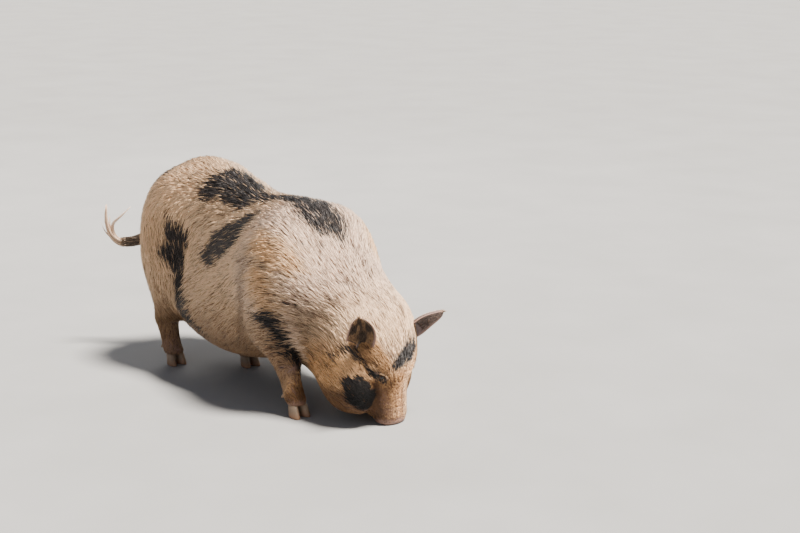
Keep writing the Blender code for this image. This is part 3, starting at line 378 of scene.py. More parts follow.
# The camera in drawn sizes, as found from the photograph, and its picture's measures in pixels
CAMERA_PLACE = (3.173, -2.220, 1.235)
CAMERA_FORWARD = (-0.745, 0.625, -0.233)
CAMERA_UP = (-0.179, 0.150, 0.972)
CAMERA_FOCAL_PIXELS = 1529.0
IMAGE_WIDTH = 800

# Lights: name, place, size, power and tint
LIGHTS = (
    ("fill_light", (1.6, -3.2, 2.0), 2.6, 8.0, (0.95, 0.97, 1.0)),
    ("back_light", (-2.6, 1.6, 2.4), 1.8, 50.0, (1.0, 0.97, 0.92)),
)
SUN_PLACE = (1.2, 0.85, 3.6)
SUN_POWER = 15.5
SUN_SPREAD = math.radians(14.0)
SUN_TINT = (1.0, 0.94, 0.86)
LIGHT_AIM = (0.1, 0.0, 0.25)
AIR_STRENGTH = 0.32
AIR_TINT = (0.80, 0.86, 1.0, 1.0)
SENSOR_WIDTH = 36.0

# The floor, along the view: where it starts, its run, the radius that it curves up with, its
# rise after that, its half width, its rows and columns, and where the curve begins and ends
FLOOR_START = -8.0
FLOOR_RUN = 30.0
FLOOR_RADIUS = 4.0
FLOOR_RISE = 4.0
FLOOR_HALF_WIDTH = 16.0
FLOOR_ROWS = 40
FLOOR_COLUMNS = 12
FLOOR_BEND = (0.55, 0.80)


def ellipsoid(p, middle, half_sizes):
    """Distance to an ellipsoid, near enough, negative inside."""
    q = p - np.array(middle)
    half = np.array(half_sizes)
    near = np.linalg.norm(q / half, axis=-1)
    steep = np.linalg.norm(q / half ** 2, axis=-1)
    return near * (near - 1.0) / np.maximum(steep, 1e-9)


def limb(p, first, last, first_radius, last_radius):
    """Distance to a round limb whose radius runs evenly from one end to the other."""
    first = np.array(first)
    along = np.array(last) - first
    share = np.clip((p - first) @ along / (along @ along), 0.0, 1.0)
    off = np.linalg.norm(p - first - share[..., None] * along, axis=-1)
    return off - (first_radius + (last_radius - first_radius) * share)


def blend(one, other, softness):
    """The nearer of two distances, with the crease between them filled in softly."""
    share = np.clip(0.5 + 0.5 * (other - one) / softness, 0.0, 1.0)
    return other + (one - other) * share - softness * share * (1.0 - share)


def mirrored(p):
    """Points folded onto the left side, so that a form stands on both."""
    q = p.copy()
    q[..., 1] = np.abs(q[..., 1])
    return q


def head_axes():
    """The head's own axes as columns: to the snout, to the left, and out of the brow."""
    snout = np.array((math.cos(HEAD_YAW) * math.cos(HEAD_PITCH),
                      math.sin(HEAD_YAW) * math.cos(HEAD_PITCH), -math.sin(HEAD_PITCH)))
    left = np.array((-math.sin(HEAD_YAW), math.cos(HEAD_YAW), 0.0))
    return np.stack([snout, left, np.cross(snout, left)], 1)


HEAD_AXES = head_axes()


def to_head(p):
    return (p - POLL) @ HEAD_AXES


def from_head(q):
    return POLL + np.asarray(q) @ HEAD_AXES.T


def blended(p, forms):
    """Distance to ellipsoids, each joined softly to those before it."""
    distance = None
    for middle, half_sizes, softness in forms.values():
        form = ellipsoid(p, middle, half_sizes)
        distance = form if distance is None else blend(distance, form, softness)
    return distance


def joined(distance, p, form):
    """A distance with one more limb joined to it softly."""
    return blend(distance, limb(p, *form[:4]), form[4])


def trunk(p):
    q = mirrored(p)
    return joined(blended(q, TRUNK), q, FLANK_FOLD)


def neck(p):
    return joined(limb(p, *NAPE[:4]), p, THROAT)


def hollow(p, middle, width, depth):
    """A soft round hollow or, with a negative depth, a swelling."""
    off = np.linalg.norm(p - np.array(middle), axis=-1)
    return depth * np.exp(-(off / width) ** 2)


def crease(p, first, last, width, depth):
    """A soft groove along a line."""
    return depth * np.exp(-(np.maximum(limb(p, first, last, 0.0, 0.0), 0.0) / width) ** 2)


def head(p):
    q = mirrored(to_head(p))
    distance = blended(q, HEAD_FORMS)
    for form in (MUZZLE, MUZZLE_SIDE, JAW):
        distance = joined(distance, q, form)
    middle, half_sizes, softness = SNOUT_DISC
    return blend(distance, ellipsoid(q, middle, half_sizes), softness) + features(q)


def features(q):
    """Mouth, lips, nostrils, eye sockets and the folds of the face, in the head's axes."""
    first, last = (np.array(end) for end in MOUTH)
    lip = np.array((0.0, 0.0, LIP_OFFSET * MOUTH_WIDTH))
    change = crease(q, first, last, MOUTH_WIDTH, MOUTH_DEPTH)
    for side in (-1.0, 1.0):
        change -= crease(q, first + side * lip, last + side * lip, 2.0 * MOUTH_WIDTH, LIP_SWELL)
    change += hollow(q, NOSTRIL, NOSTRIL_RADIUS, NOSTRIL_DEPTH)
    offset, width, depth = EYE_SOCKET
    change += hollow(q, EYE + np.array(offset), width, depth)
    for first, last, width, depth in FOLDS:
        change += crease(q, first, last, width, depth)
    return change


def leg(p, points, radii):
    """One leg: the thigh or upper arm, then the shin, then the pastern."""
    upper = limb(p, points[0], points[1], radii[0], radii[1])
    upper = blend(upper, limb(p, points[1], points[2], radii[1], radii[2]), THIGH_SOFTNESS)
    shin = limb(p, points[2], points[3], radii[2], radii[3])
    return upper, blend(shin, limb(p, points[3], points[4], radii[3], radii[4]), SHIN_SOFTNESS)


def outline(p):
    """Distance to the outline of the whole coat."""
    distance = blend(blend(trunk(p), neck(p), NAPE[4]), head(p), HEAD_SOFTNESS)
    for points, radii in LEGS.values():
        upper, shin = leg(p, points, radii)
        distance = blend(distance, upper, THIGH_SOFTNESS)
        distance = blend(distance, shin, SHIN_SOFTNESS)
    return distance


# Where the drawn forms stand in the frame, found from the CAD model's left eye
EYE_LOW, EYE_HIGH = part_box("eye_left")
SHIFT = 0.5 * (np.array(EYE_LOW) + np.array(EYE_HIGH)) - SCALE * from_head(EYE)


def coat_depth(p):
    """How far the flesh lies inside the outline: little on the face, the feet and the belly."""
    q = to_head(p)
    slant, start, width = FACE_COAT
    face = np.clip((q[..., 2] + slant * q[..., 0] + start) / width, 0.0, 1.0)
    low = np.clip((LOW_COAT[0] - p[..., 2]) / LOW_COAT[1], 0.0, 1.0)
    short = np.maximum(face, low)
    return COAT_DEPTH + (SHORT_COAT_DEPTH - COAT_DEPTH) * short * short * (3.0 - 2.0 * short)


def smooth(value, low, high):
    """A soft step from 0 at the low value to 1 at the high one: 3 t squared less 2 t cubed."""
    share = np.clip((value - low) / (high - low), 0.0, 1.0)
    return share * share * (3.0 - 2.0 * share)


def within(distance, outside, inside):
    """A soft mask of a form: 0 beyond the first distance outside it, 1 past the second inside it."""
    return smooth(-distance, -outside, inside)


def beyond_neck(p):
    """How far points lie ahead of the plane where the head begins."""
    return (p - HEAD_CUT[0]) @ HEAD_CUT[1]


def unit(vectors):
    return vectors / np.maximum(np.linalg.norm(vectors, axis=-1, keepdims=True), 1e-9)


def eye_frame(side):
    """An eye's middle and its directions: along the opening, up across it, and outwards."""
    turned = np.array((1.0, side, 1.0))
    aim = unit(HEAD_AXES @ (EYE_AIM * turned))
    slit = HEAD_AXES @ (EYE_SLIT * turned)
    slit = unit(slit - aim * (slit @ aim))
    return from_head(EYE * turned), np.stack([slit, side * np.cross(aim, slit), aim], 1)


def eye_space(p, side):
    """Points in an eye's own axes, and their distance from its almond-shaped opening."""
    middle, axes = eye_frame(side)
    q = (p - middle) @ axes
    return q, ellipsoid(q, (0.0, 0.0, 0.0), EYE_OPENING)


def flesh_end(p):
    """The height where the flesh ends: inside the hooves, but just above the floor at the snout."""
    at_snout = smooth(to_head(p)[..., 2], *SNOUT_SIDE)
    return FOOT_END + (SNOUT_END - FOOT_END) * at_snout


def bare_body(p):
    """The field of the flesh under the coat, without lids, cut off level where it ends."""
    value = outline(p) + SKIN_SHARE * coat_depth(p)
    end = flesh_end(p)
    softness = FOOT_SOFTNESS * np.clip(end / FOOT_END, LEAST_SOFTNESS, 1.0)
    return -blend(-value, p[..., 2] - end, softness)


def skin_field(p):
    """The field of the skin: the flesh with a rim of lids swollen round each open eye."""
    value = bare_body(p)
    for side in (-1.0, 1.0):
        q, away = eye_space(p, side)
        near = np.linalg.norm(q, axis=-1) < LID_REACH
        swell = LID_SWELL * np.exp(-((away - LID_WIDTH) / LID_WIDTH) ** 2)
        upper = smooth(q[..., 1], -UPPER_LID_EDGE, UPPER_LID_EDGE)
        swell = swell * (1.0 + UPPER_LID_SWELL * upper)
        value = np.where(near, value - swell * (q[..., 2] > 0.0), value)
        value = np.where(near, -blend(-value, away, OPENING_SOFTNESS), value)
    return value


def slope(field, p, reach=SLOPE_REACH):
    """A field's mean value round each point and its outward direction, from four samples.

    The samples stand at the corners of a small tetrahedron. Each corner's value times its own
    direction, summed, points along the slope.
    """
    corners = np.array(((1.0, 1.0, 1.0), (1.0, -1.0, -1.0), (-1.0, 1.0, -1.0), (-1.0, -1.0, 1.0)))
    values = np.stack([field(p + reach * corner) for corner in corners], -1)
    return values.mean(-1), unit(values @ corners)


def at_height(field, p, height, rounds=1):
    """Points moved along the field's slope to a height over its surface, and the slope there."""
    for _ in range(rounds):
        value, normal = slope(field, p)
        p = p - (value - height)[..., None] * normal
    return p, normal


def surface(field, low, high, step):
    """Points and four-sided faces where a field is zero: one point in each cell it crosses."""
    low = np.array(low)
    count = np.ceil((np.array(high) - low) / step).astype(int) + 1
    lines = [low[axis] + step * np.arange(count[axis]) for axis in range(3)]
    value = field(np.stack(np.meshgrid(*lines, indexing="ij"), -1).reshape(-1, 3)).reshape(count)
    cells = count - 1
    total = np.zeros((*cells, 3))
    hits = np.zeros(cells)
    crossings = []
    for axis in range(3):
        start = [slice(None)] * 3
        end = [slice(None)] * 3
        start[axis], end[axis] = slice(None, -1), slice(1, None)
        first, last = value[tuple(start)], value[tuple(end)]
        crossed = (first < 0.0) != (last < 0.0)
        share = np.where(crossed, first / np.where(crossed, first - last, 1.0), 0.0)
        crossings.append((crossed, first < 0.0))
        others = [other for other in range(3) if other != axis]
        for a in (0, 1):
            for b in (0, 1):
                part = [slice(None)] * 3
                part[others[0]] = slice(a, a + cells[others[0]])
                part[others[1]] = slice(b, b + cells[others[1]])
                here = crossed[tuple(part)]
                total[..., axis] += np.where(here, share[tuple(part)], 0.0)
                total[..., others[0]] += a * here
                total[..., others[1]] += b * here
                hits += here
    live = hits > 0
    number = -np.ones(cells, int)
    number[live] = np.arange(live.sum())
    points = low + step * (np.argwhere(live) + total[live] / hits[live][:, None])
    faces = []
    for axis in range(3):
        crossed, starts_inside = crossings[axis]
        at = np.argwhere(crossed)
        inner = np.all([(at[:, k] > 0) & (at[:, k] < cells[k]) for k in range(3) if k != axis], 0)
        at = at[inner]
        b, c = (axis + 1) % 3, (axis + 2) % 3
        one_b, one_c = np.eye(3, dtype=int)[b], np.eye(3, dtype=int)[c]
        ring = [at, at - one_b, at - one_b - one_c, at - one_c]
        ring = np.stack([number[tuple(corner.T)] for corner in ring], 1)
        outward = starts_inside[tuple(at.T)]
        ring[~outward] = ring[~outward][:, ::-1]
        faces.append(ring)
    return points, np.concatenate(faces)


def refine(points, triangles, chosen):
    """Halve every edge of the chosen triangles, and split their neighbours to match.

    A triangle with one halved edge becomes two, with two halved edges three, with three four.
    """
    count = len(points)
    pairs = np.sort(np.stack([triangles, np.roll(triangles, -1, 1)], -1), -1)
    keys = pairs[..., 0] * count + pairs[..., 1]
    halved = np.unique(keys[chosen])
    middles = 0.5 * (points[halved // count] + points[halved % count])
    place = np.clip(np.searchsorted(halved, keys), 0, len(halved) - 1)
    cut = halved[place] == keys
    middle = np.where(cut, count + place, -1)
    out = [triangles[~cut.any(1)]]
    cuts = cut.sum(1)
    for first in range(3):
        a, b, c = first, (first + 1) % 3, (first + 2) % 3
        one = (cuts == 1) & cut[:, a]
        t, m = triangles[one], middle[one]
        out += [np.stack([t[:, a], m[:, a], t[:, c]], 1), np.stack([m[:, a], t[:, b], t[:, c]], 1)]
        two = (cuts == 2) & cut[:, a] & cut[:, b]
        t, m = triangles[two], middle[two]
        out += [np.stack(corners, 1) for corners in (
            (m[:, a], t[:, b], m[:, b]), (t[:, a], m[:, a], m[:, b]), (t[:, a], m[:, b], t[:, c]))]
    t, m = triangles[cuts == 3], middle[cuts == 3]
    out.append(np.stack([m[:, 0], m[:, 1], m[:, 2]], 1))
    for corner in range(3):
        out.append(np.stack([t[:, corner], m[:, corner], m[:, corner - 1]], 1))
    return np.concatenate([points, middles]), np.concatenate(out)


def feature_distance(p):
    """How far points are from the eyes, nostrils, mouth and folds of the face."""
    q = mirrored(to_head(p))
    near = np.linalg.norm(q - EYE, axis=-1) - EYE_MARGIN
    near = np.minimum(near, np.linalg.norm(q - NOSTRIL, axis=-1) - FEATURE_MARGIN)
    near = np.minimum(near, limb(q, *MOUTH, FEATURE_MARGIN, FEATURE_MARGIN))
    for first, last, width, _ in FOLDS:
        near = np.minimum(near, limb(q, first, last, width, width))
    return near


def skin_mesh():
    """The skin's points and triangles: even on the body, fine on the head, finest on the face."""
    points, quads = surface(bare_body, BODY_LOW, BODY_HIGH, SKIN_STEP)
    triangles = np.concatenate([quads[:, [0, 1, 2]], quads[:, [0, 2, 3]]])
    for level in range(3):
        centre = points[triangles].mean(1)
        chosen = beyond_neck(centre) > FINE_AHEAD
        if level == 0:
            chosen |= centre[:, 2] < FINE_BELOW
        elif level == 1:
            chosen &= feature_distance(centre) < FEATURE_MARGIN
        else:
            eye_distance = np.linalg.norm(mirrored(to_head(centre)) - EYE, axis=-1)
            chosen &= eye_distance < EYE_FINEST
        points, triangles = refine(points, triangles, chosen)
    points[:] = at_height(bare_body, points, 0.0)[0]
    face = beyond_neck(points) > 0.0
    points[face] = at_height(skin_field, points[face], 0.0, 3)[0]
    return points, triangles


def noise(p, size, seed):
    """Smooth noise from 0 to 1: random values on a lattice, blended between its corners."""
    q = p / size
    cell = np.floor(q).astype(np.int64)
    part = q - cell
    part = part * part * (3.0 - 2.0 * part)
    total = np.zeros(p.shape[:-1])
    for corner in np.ndindex(2, 2, 2):
        c = cell + np.array(corner)
        value = np.bitwise_xor.reduce(c * np.array(SCRAMBLE), axis=-1)
        value = ((value ^ (seed * SEED_SCRAMBLE[0])) * SEED_SCRAMBLE[1]) & 0xffffffff
        value = (((value ^ (value >> 15)) * SEED_SCRAMBLE[2]) & 0xffffffff) >> 12
        weight = np.prod(np.where(np.array(corner, bool), part, 1.0 - part), -1)
        total += weight * (value & 0xffff) / 65535.0
    return total


def chain_distance(p, chain):
    """Distance to a chain of round links, each tapered from one point's radius to the next."""
    near = np.full(p.shape[:-1], 9.0)
    for first, last in zip(chain[:-1], chain[1:]):
        near = np.minimum(near, limb(p, first[:3], last[:3], first[3], last[3]))
    return near


def nearest(p, chains):
    """Distance to the nearest of several chains."""
    return np.min([chain_distance(p, chain) for chain in chains.values()], axis=0)


def on_right(p):
    """Points folded onto the right side."""
    q = mirrored(p)
    q[..., 1] *= -1.0
    return q


def markings(p):
    """Masks of the markings: dark hair, with painted shade at the temples and under the ears; warm
    brown hair; bare skin; and sparse pale hair. Along the far side of the muzzle the bare skin and the
    pale hair are partly a painted highlight.
    """
    q = to_head(p)
    both = mirrored(q)
    ragged = noise(p, 0.012, 1) - 0.5 + 0.5 * (noise(p, 0.004, 2) - 0.5)
    dark = within(nearest(p, DARK_PATCHES) + PATCH_RAGGED * ragged, PATCH_EDGE, PATCH_EDGE)
    on_face = np.minimum(nearest(q, HEAD_PATCHES), nearest(both, EYE_BANDS))
    dark = np.maximum(dark, within(on_face + HEAD_PATCH_RAGGED * ragged, HEAD_PATCH_EDGE,
                                   HEAD_PATCH_EDGE))
    # Painted shade of the temples and under the ears, with the faint marks, as a share of dark hair
    faint = np.minimum(nearest(both, SHADED_BANDS), nearest(q, FAINT_PATCHES))
    shaded = within(faint + 0.6 * HEAD_PATCH_RAGGED * ragged, HEAD_PATCH_EDGE,
                    2.0 * HEAD_PATCH_EDGE)
    dark = np.maximum(dark, SHADED_SHARE * shaded)
    ahead = beyond_neck(p)
    sideways = np.abs(q[..., 1])
    jowl = smooth(-q[..., 2], 0.02, 0.10) * smooth(q[..., 0], 0.03, 0.11)
    muzzle = smooth(q[..., 0], 0.10, 0.15) * (1.0 - 0.25 * smooth(q[..., 0], 0.16, 0.22))
    temple = smooth(sideways, 0.05, 0.09) * smooth(q[..., 0], 0.05, 0.10)
    temple = np.maximum(0.75 * temple, within(chain_distance(both, TEMPLE_BROWN_AND_SHADE), 0.010, 0.008))
    muzzle = np.maximum(muzzle, within(chain_distance(q, NOSE_TAN), 0.008, 0.004))
    warm = smooth(ahead, -0.05, 0.02) * np.maximum(np.maximum(jowl, muzzle), temple)
    tan = within(nearest(on_right(p), TAN_PATCHES) + 0.03 * ragged, 0.03, 0.02)
    warm = np.maximum(warm, 0.7 * tan)
    # Browner towards the belly and the lower flank, behind the head
    under = smooth(0.24 - p[..., 2], 0.0, 0.14) * (1.0 - smooth(ahead, -0.04, 0.0))
    haunch = smooth(-p[..., 0], 0.08, 0.30) * smooth(p[..., 2], 0.25, 0.42)
    warm = np.maximum(warm, np.maximum(0.45 * under, 0.20 * haunch))
    warm = warm * (0.75 + 0.5 * noise(p, 0.030, 3))
    disc = np.maximum(smooth(q[..., 0], 0.240, 0.252), 0.22 * smooth(q[..., 0], 0.150, 0.225))
    lips = within(limb(both, *MOUTH, 0.0, 0.0), 0.007, -0.002)
    shin = 0.6 * smooth(0.11 - p[..., 2], 0.0, 0.05) * (ahead < 0.0)
    bare = np.maximum(np.maximum(disc, lips * (ahead > 0.0)), shin)
    bare = np.maximum(bare, 0.45 * within(chain_distance(both, NOSE_PINK_AND_HIGHLIGHT), 0.006, 0.006))
    for side in (-1.0, 1.0):
        space, away = eye_space(p, side)
        rim = within(away, 0.0060, -0.0015) * (np.linalg.norm(space, axis=-1) < LID_REACH)
        dark = np.maximum(dark, rim)
    pale = smooth(p[..., 0], 0.08, 0.20) * smooth(p[..., 2], 0.20, 0.34) * (1.0 - warm)
    pale = pale * (1.0 - 0.6 * smooth(ahead, -0.05, 0.05))
    # Painted highlight: a paler, cooler strip over the upper far half of the muzzle
    far_side_highlight = smooth(q[..., 1], 0.000, 0.014) * smooth(q[..., 0], 0.130, 0.155)
    pale = np.maximum(pale, far_side_highlight * smooth(-q[..., 1], -0.050, -0.030) * (q[..., 2] > -0.03))
    return np.clip(np.stack([dark, warm, bare, pale], -1), 0.0, 1.0)


def painted_shade(p):
    """Painted shade: the share by which the hair is darker, as if in shadow, in the grooves of the
    body, on the belly, at the temples, on the sides of the snout and along the cheek's fold.
    """
    q = to_head(p)
    both = mirrored(q)
    groove = within(nearest(on_right(p), SHADED_GROOVES), GROOVE_EDGE, GROOVE_EDGE)
    temple = within(chain_distance(both, TEMPLE_BROWN_AND_SHADE), 0.012, 0.010)
    ahead = smooth(beyond_neck(p), -0.03, 0.03)
    belly = smooth(0.33 - p[..., 2], 0.0, 0.18) * (1.0 - ahead)
    snout = smooth(both[..., 0], 0.145, 0.185) * smooth(both[..., 1], 0.012, 0.040) * ahead
    fold = within(chain_distance(q, CHEEK_FOLD_SHADE), 0.010, 0.010)
    return np.max([0.75 * groove, 0.60 * temple, 0.65 * belly, 0.86 * snout, 0.95 * fold], 0)


def lie(p, normal):
    """The way the hair lies: up the face and the neck, back over the body, down the legs."""
    q = to_head(p)
    on_head = smooth(beyond_neck(p), -0.03, 0.03)[..., None]
    on_neck = smooth(p[..., 0], 0.12, 0.34)[..., None]
    flank = 0.65 * np.clip(1.2 * np.abs(normal[..., 1]) - 0.1, 0.0, 1.0)
    zero = np.zeros_like(flank)
    body = np.stack([zero - 1.0, zero, -0.10 - flank], -1)
    side = np.clip(p[..., 1] / 0.03, -1.0, 1.0)
    neck_way = np.stack([zero - 0.72, 0.15 * side, zero + 0.70 - 0.5 * flank], -1)
    way = unit(body) * (1.0 - on_neck) + unit(neck_way) * on_neck
    behind = smooth(-p[..., 0], 0.10, 0.22) * smooth(0.50 - p[..., 2], 0.0, 0.12)
    behind = (behind * smooth(np.abs(normal[..., 1]), 0.25, 0.6))[..., None]
    haunch = np.stack([zero + 0.45, zero, zero - 1.0], -1)
    way = way * (1.0 - behind) + unit(haunch) * behind
    rear = (smooth(-normal[..., 0], 0.45, 0.8) * smooth(-p[..., 0], 0.25, 0.35))[..., None]
    way = way * (1.0 - rear) + np.array((0.0, 0.0, -1.0)) * rear
    lateral = smooth(np.abs(q[..., 1]), 0.03, 0.09)[..., None]
    turned = np.stack([zero - 1.0, np.clip(10.0 * q[..., 1], -0.25, 0.25), zero - 0.15], -1)
    cheek = np.array((-0.72, 0.0, -0.70))
    face = (unit(turned) * (1.0 - lateral) + cheek * lateral) @ HEAD_AXES.T
    way = way * (1.0 - on_head) + face * on_head
    on_leg = smooth(0.17 - p[..., 2], 0.0, 0.07)[..., None] * (1.0 - on_head)
    on_leg = on_leg * np.clip(1.0 - 2.0 * np.abs(normal[..., 2:]), 0.0, 1.0)
    way = way * (1.0 - on_leg) + np.array((-0.12, 0.0, -1.0)) * on_leg
    return unit(way - normal * np.sum(way * normal, -1, keepdims=True))


def hair_length(p):
    """Length of the hair: full on the body, shorter towards the snout, the belly and the feet."""
    q = to_head(p)
    ahead = smooth(beyond_neck(p), -0.02, 0.04)
    cheek = smooth(-q[..., 2], 0.03, 0.10)
    face = smooth(q[..., 0], 0.00, 0.19 + 0.05 * cheek) * ahead
    face = face * (1.0 - 0.45 * cheek)
    low = smooth(0.19 - p[..., 2], 0.0, 0.09) * (1.0 - ahead)
    leg = 1.0 - 0.62 * low - 0.24 * smooth(0.11 - p[..., 2], 0.0, 0.05) * low
    share = np.minimum(1.0 - 0.86 * face, leg)
    for root, _, facing in (EARS[side][:3] for side in (-1.0, 1.0)):
        mouth = from_head(np.array(root)) + EAR_MOUTH * unit(np.array(facing))
        near = smooth(EAR_MOUTH_RADIUS - np.linalg.norm(p - mouth, axis=-1), 0.0, 0.012)
        share = share * (1.0 - 0.62 * near)
    return share * (1.0 + 0.10 * within(chain_distance(p, FRINGE), 0.008, 0.006))


def scatter(points, triangles, spacing, rng):
    """Places spread over triangles, one for each square of the given spacing.

    The running total of the triangles' areas, each divided by its spacing squared, is cut into
    equal steps, and each step gives one place at random in the triangle that it falls in.
    """
    a, b, c = (points[triangles[:, k]] for k in range(3))
    wanted = np.cumsum(0.5 * np.linalg.norm(np.cross(b - a, c - a), axis=1) / spacing ** 2)
    steps = (np.arange(int(wanted[-1])) + rng.random(int(wanted[-1]))) * wanted[-1] / int(wanted[-1])
    chosen = np.minimum(np.searchsorted(wanted, steps), len(triangles) - 1)
    u, v = rng.random((2, len(chosen)))
    over = u + v > 1.0
    u, v = np.where(over, 1.0 - u, u)[:, None], np.where(over, 1.0 - v, v)[:, None]
    return a[chosen] + u * (b - a)[chosen] + v * (c - a)[chosen]


def tuft_rings(root, middle, tip, normals, across, width, thick):
    """Corners of three-sided tapered tufts: a ring at the root, one in the middle, and a tip."""
    rings = []
    for point, normal, sideways, share in ((root, normals[0], across[0], 0.75),
                                           (middle, normals[1], across[1], 1.0)):
        half = 0.5 * share * width[:, None] * sideways
        rings += [point - half, point + half, point + share * thick[:, None] * normal]
    return np.stack([*rings, tip], 1)


TUFT_FACES = np.array(((0, 2, 1), (0, 1, 4), (0, 4, 3), (1, 2, 5), (1, 5, 4), (2, 0, 3), (2, 3, 5),
                       (3, 4, 6), (4, 5, 6), (5, 3, 6)))
TUFT_ALONG = np.array((0.0, 0.0, 0.0, 0.5, 0.5, 0.5, 1.0))
TUFT_ACROSS = np.array((0.0, 1.0, 0.5, 0.0, 1.0, 0.5, 0.5))


def varied(random, mean, spread, least, most):
    """A random share round a mean, held between the least and the most."""
    return np.clip(mean + spread * random, least, most)


def coat_tufts(roots, normals, rng):
    """Tufts over the skin: each follows the lie of the hair in two steps and ends raised a little."""
    settings = bpy.context.scene.pig_sizes
    share = hair_length(roots)
    random = rng.normal(0.0, 1.0, (4, len(roots)))
    length = settings.hair_length / SCALE * share * varied(random[0], *LENGTH_SPREAD)
    width = settings.hair_width / SCALE * np.clip(share, LEAST_SHARE, 1.0) ** WIDTH_POWER
    width = width * varied(random[1], *WIDTH_SPREAD)
    depth = SKIN_SHARE * coat_depth(roots)
    way = lie(roots, normals)
    side = np.cross(normals, way)
    clump = sum(weight * (noise(roots, size, seed) - 0.5) for weight, size, seed in CLUMPS)
    sway = SWAY[0] * clump + SWAY[1] * random[2]
    way = unit(way + sway[:, None] * side)
    root = roots - ROOT_DEPTH * normals
    low = depth * varied(random[3], *MIDDLE_HEIGHT)
    middle, normal = at_height(bare_body, roots + 0.5 * length[:, None] * way, low)
    forward = lie(middle, normal)
    forward = unit(forward + sway[:, None] * np.cross(normal, forward))
    high = depth * varied(random[3], *TIP_HEIGHT)
    tip, _ = at_height(bare_body, middle + 0.5 * length[:, None] * forward, high)
    across = (np.cross(normals, way), np.cross(normal, forward))
    thick = TUFT_THICKNESS * width
    return tuft_rings(root, middle, tip, (normals, normal), across, width, thick)


def streaks(p, way):
    """Lightness in streaks along the hair: the mean of noise at places along its lie."""
    value = np.zeros(len(p))
    for reach in np.linspace(-STREAK_REACH, STREAK_REACH, STREAK_STEPS):
        place = p + reach * way
        value += sum(weight * noise(place, size, seed)
                     for weight, size, seed in STREAK_NOISE) / STREAK_STEPS
    return smooth(value, *STREAK_CONTRAST)


def patch_uv(position):
    """The small patch on the unwrap that one tuft bakes from: across it and along it."""
    table = np.stack([TUFT_ACROSS - 0.5, TUFT_ALONG - 0.5], 1) * UV_PATCH
    return position[:, None] + table[None]


def spread_uv(p, axis_first, axis_last):
    """Unwrap of a rounded form: the share along an axis, and the angle round it as a share."""
    first, last = np.array(axis_first), np.array(axis_last)
    along = unit(last - first)
    side = unit(np.cross(along, np.array((0.12, 0.0, 1.0))))
    up = np.cross(side, along)
    off = p - first
    angle = np.arctan2(off @ side, off @ up) / (2.0 * math.pi) + 0.5
    reach = off @ along
    reach = (reach - reach.min()) / max(np.ptp(reach), 1e-6)
    return 0.01 + 0.98 * np.stack([reach, angle], -1)


def to_world(points):
    return (SCALE * points + SHIFT).astype(np.float32)


def add_object(name, data):
    """A new object at the origin, in the scene."""
    obj = bpy.data.objects.new(name, data)
    bpy.context.scene.collection.objects.link(obj)
    return obj


def mesh_piece(name, points, faces, look, marks=None, uv=None, replaces=()):
    """A piece from points and triangles, with its marks and its bake map."""
    mesh = bpy.data.meshes.new(name)
    faces = np.asarray(faces, np.int32)
    mesh.vertices.add(len(points))
    mesh.vertices.foreach_set("co", to_world(points).ravel())
    mesh.loops.add(faces.size)
    mesh.loops.foreach_set("vertex_index", faces.ravel())
    mesh.polygons.add(len(faces))
    mesh.polygons.foreach_set("loop_start", np.arange(0, faces.size, 3, dtype=np.int32))
    mesh.update(calc_edges=True)
    mesh.shade_smooth()
    if marks is not None:
        attribute = mesh.attributes.new("marks", "FLOAT_COLOR", "POINT")
        attribute.data.foreach_set("color", marks.astype(np.float32).ravel())
    if uv is not None:
        layer = mesh.uv_layers.new(name="OFBake")
        layer.uv.foreach_set("vector", uv.astype(np.float32)[faces.ravel()].ravel())
    mesh.materials.append(bpy.data.materials[look])
    obj = add_object(name, mesh)
    if replaces:
        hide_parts(*replaces)
    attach(obj, BODY)


def closed_rings(rings):
    """Points and triangles of a skin over rings of points, with a fan over each end."""
    count, sides = rings.shape[:2]
    points = np.concatenate([rings.reshape(-1, 3), rings[:1].mean(1), rings[-1:].mean(1)])
    i, j = np.meshgrid(np.arange(count - 1), np.arange(sides), indexing="ij")
    a, b = (i * sides + j).ravel(), (i * sides + (j + 1) % sides).ravel()
    j = np.arange(sides)
    following = (j + 1) % sides
    top = (count - 1) * sides
    faces = [np.stack([a, b, b + sides], 1), np.stack([a, b + sides, a + sides], 1),
             np.stack([following, j, np.full(sides, count * sides)], 1),
             np.stack([top + j, top + following, np.full(sides, count * sides + 1)], 1)]
    return outward_faces(points, np.concatenate(faces))


def outward_faces(points, faces):
    """Faces turned about where the volume that they close comes out negative."""
    a, b, c = (points[faces[:, k]] - points.mean(0) for k in range(3))
    if np.sum(a * np.cross(b, c)) < 0.0:
        faces = faces[:, ::-1]
    return points, faces


def curve_through(points, count):
    """Points of a smooth curve that passes through the given ones."""
    points = np.array(points, float)
    padded = np.vstack([2 * points[0] - points[1], points, 2 * points[-1] - points[-2]])
    place = np.linspace(0.0, len(points) - 1.0 - 1e-9, count)
    span = place.astype(int)
    t = (place - span)[:, None]
    a, b, c, d = (padded[span + k] for k in range(4))
    return 0.5 * (2 * b + (c - a) * t + (2 * a - 5 * b + 4 * c - d) * t ** 2
                  + (3 * b - a - 3 * c + d) * t ** 3)


def tube_rings(path, radii, sides, breadth=(0.0, 0.0, 1.0)):
    """Rings of a round tube: at each point of a path, a circle square to the way it runs."""
    along = unit(np.gradient(path, axis=0))
    across = unit(np.cross(along, np.array(breadth)))
    up = np.cross(across, along)
    turn = np.linspace(0.0, 2.0 * math.pi, sides, endpoint=False)[None, :, None]
    radii = np.broadcast_to(np.asarray(radii, float), (len(path),))[:, None, None]
    return path[:, None] + radii * (np.cos(turn) * across[:, None] + np.sin(turn) * up[:, None])


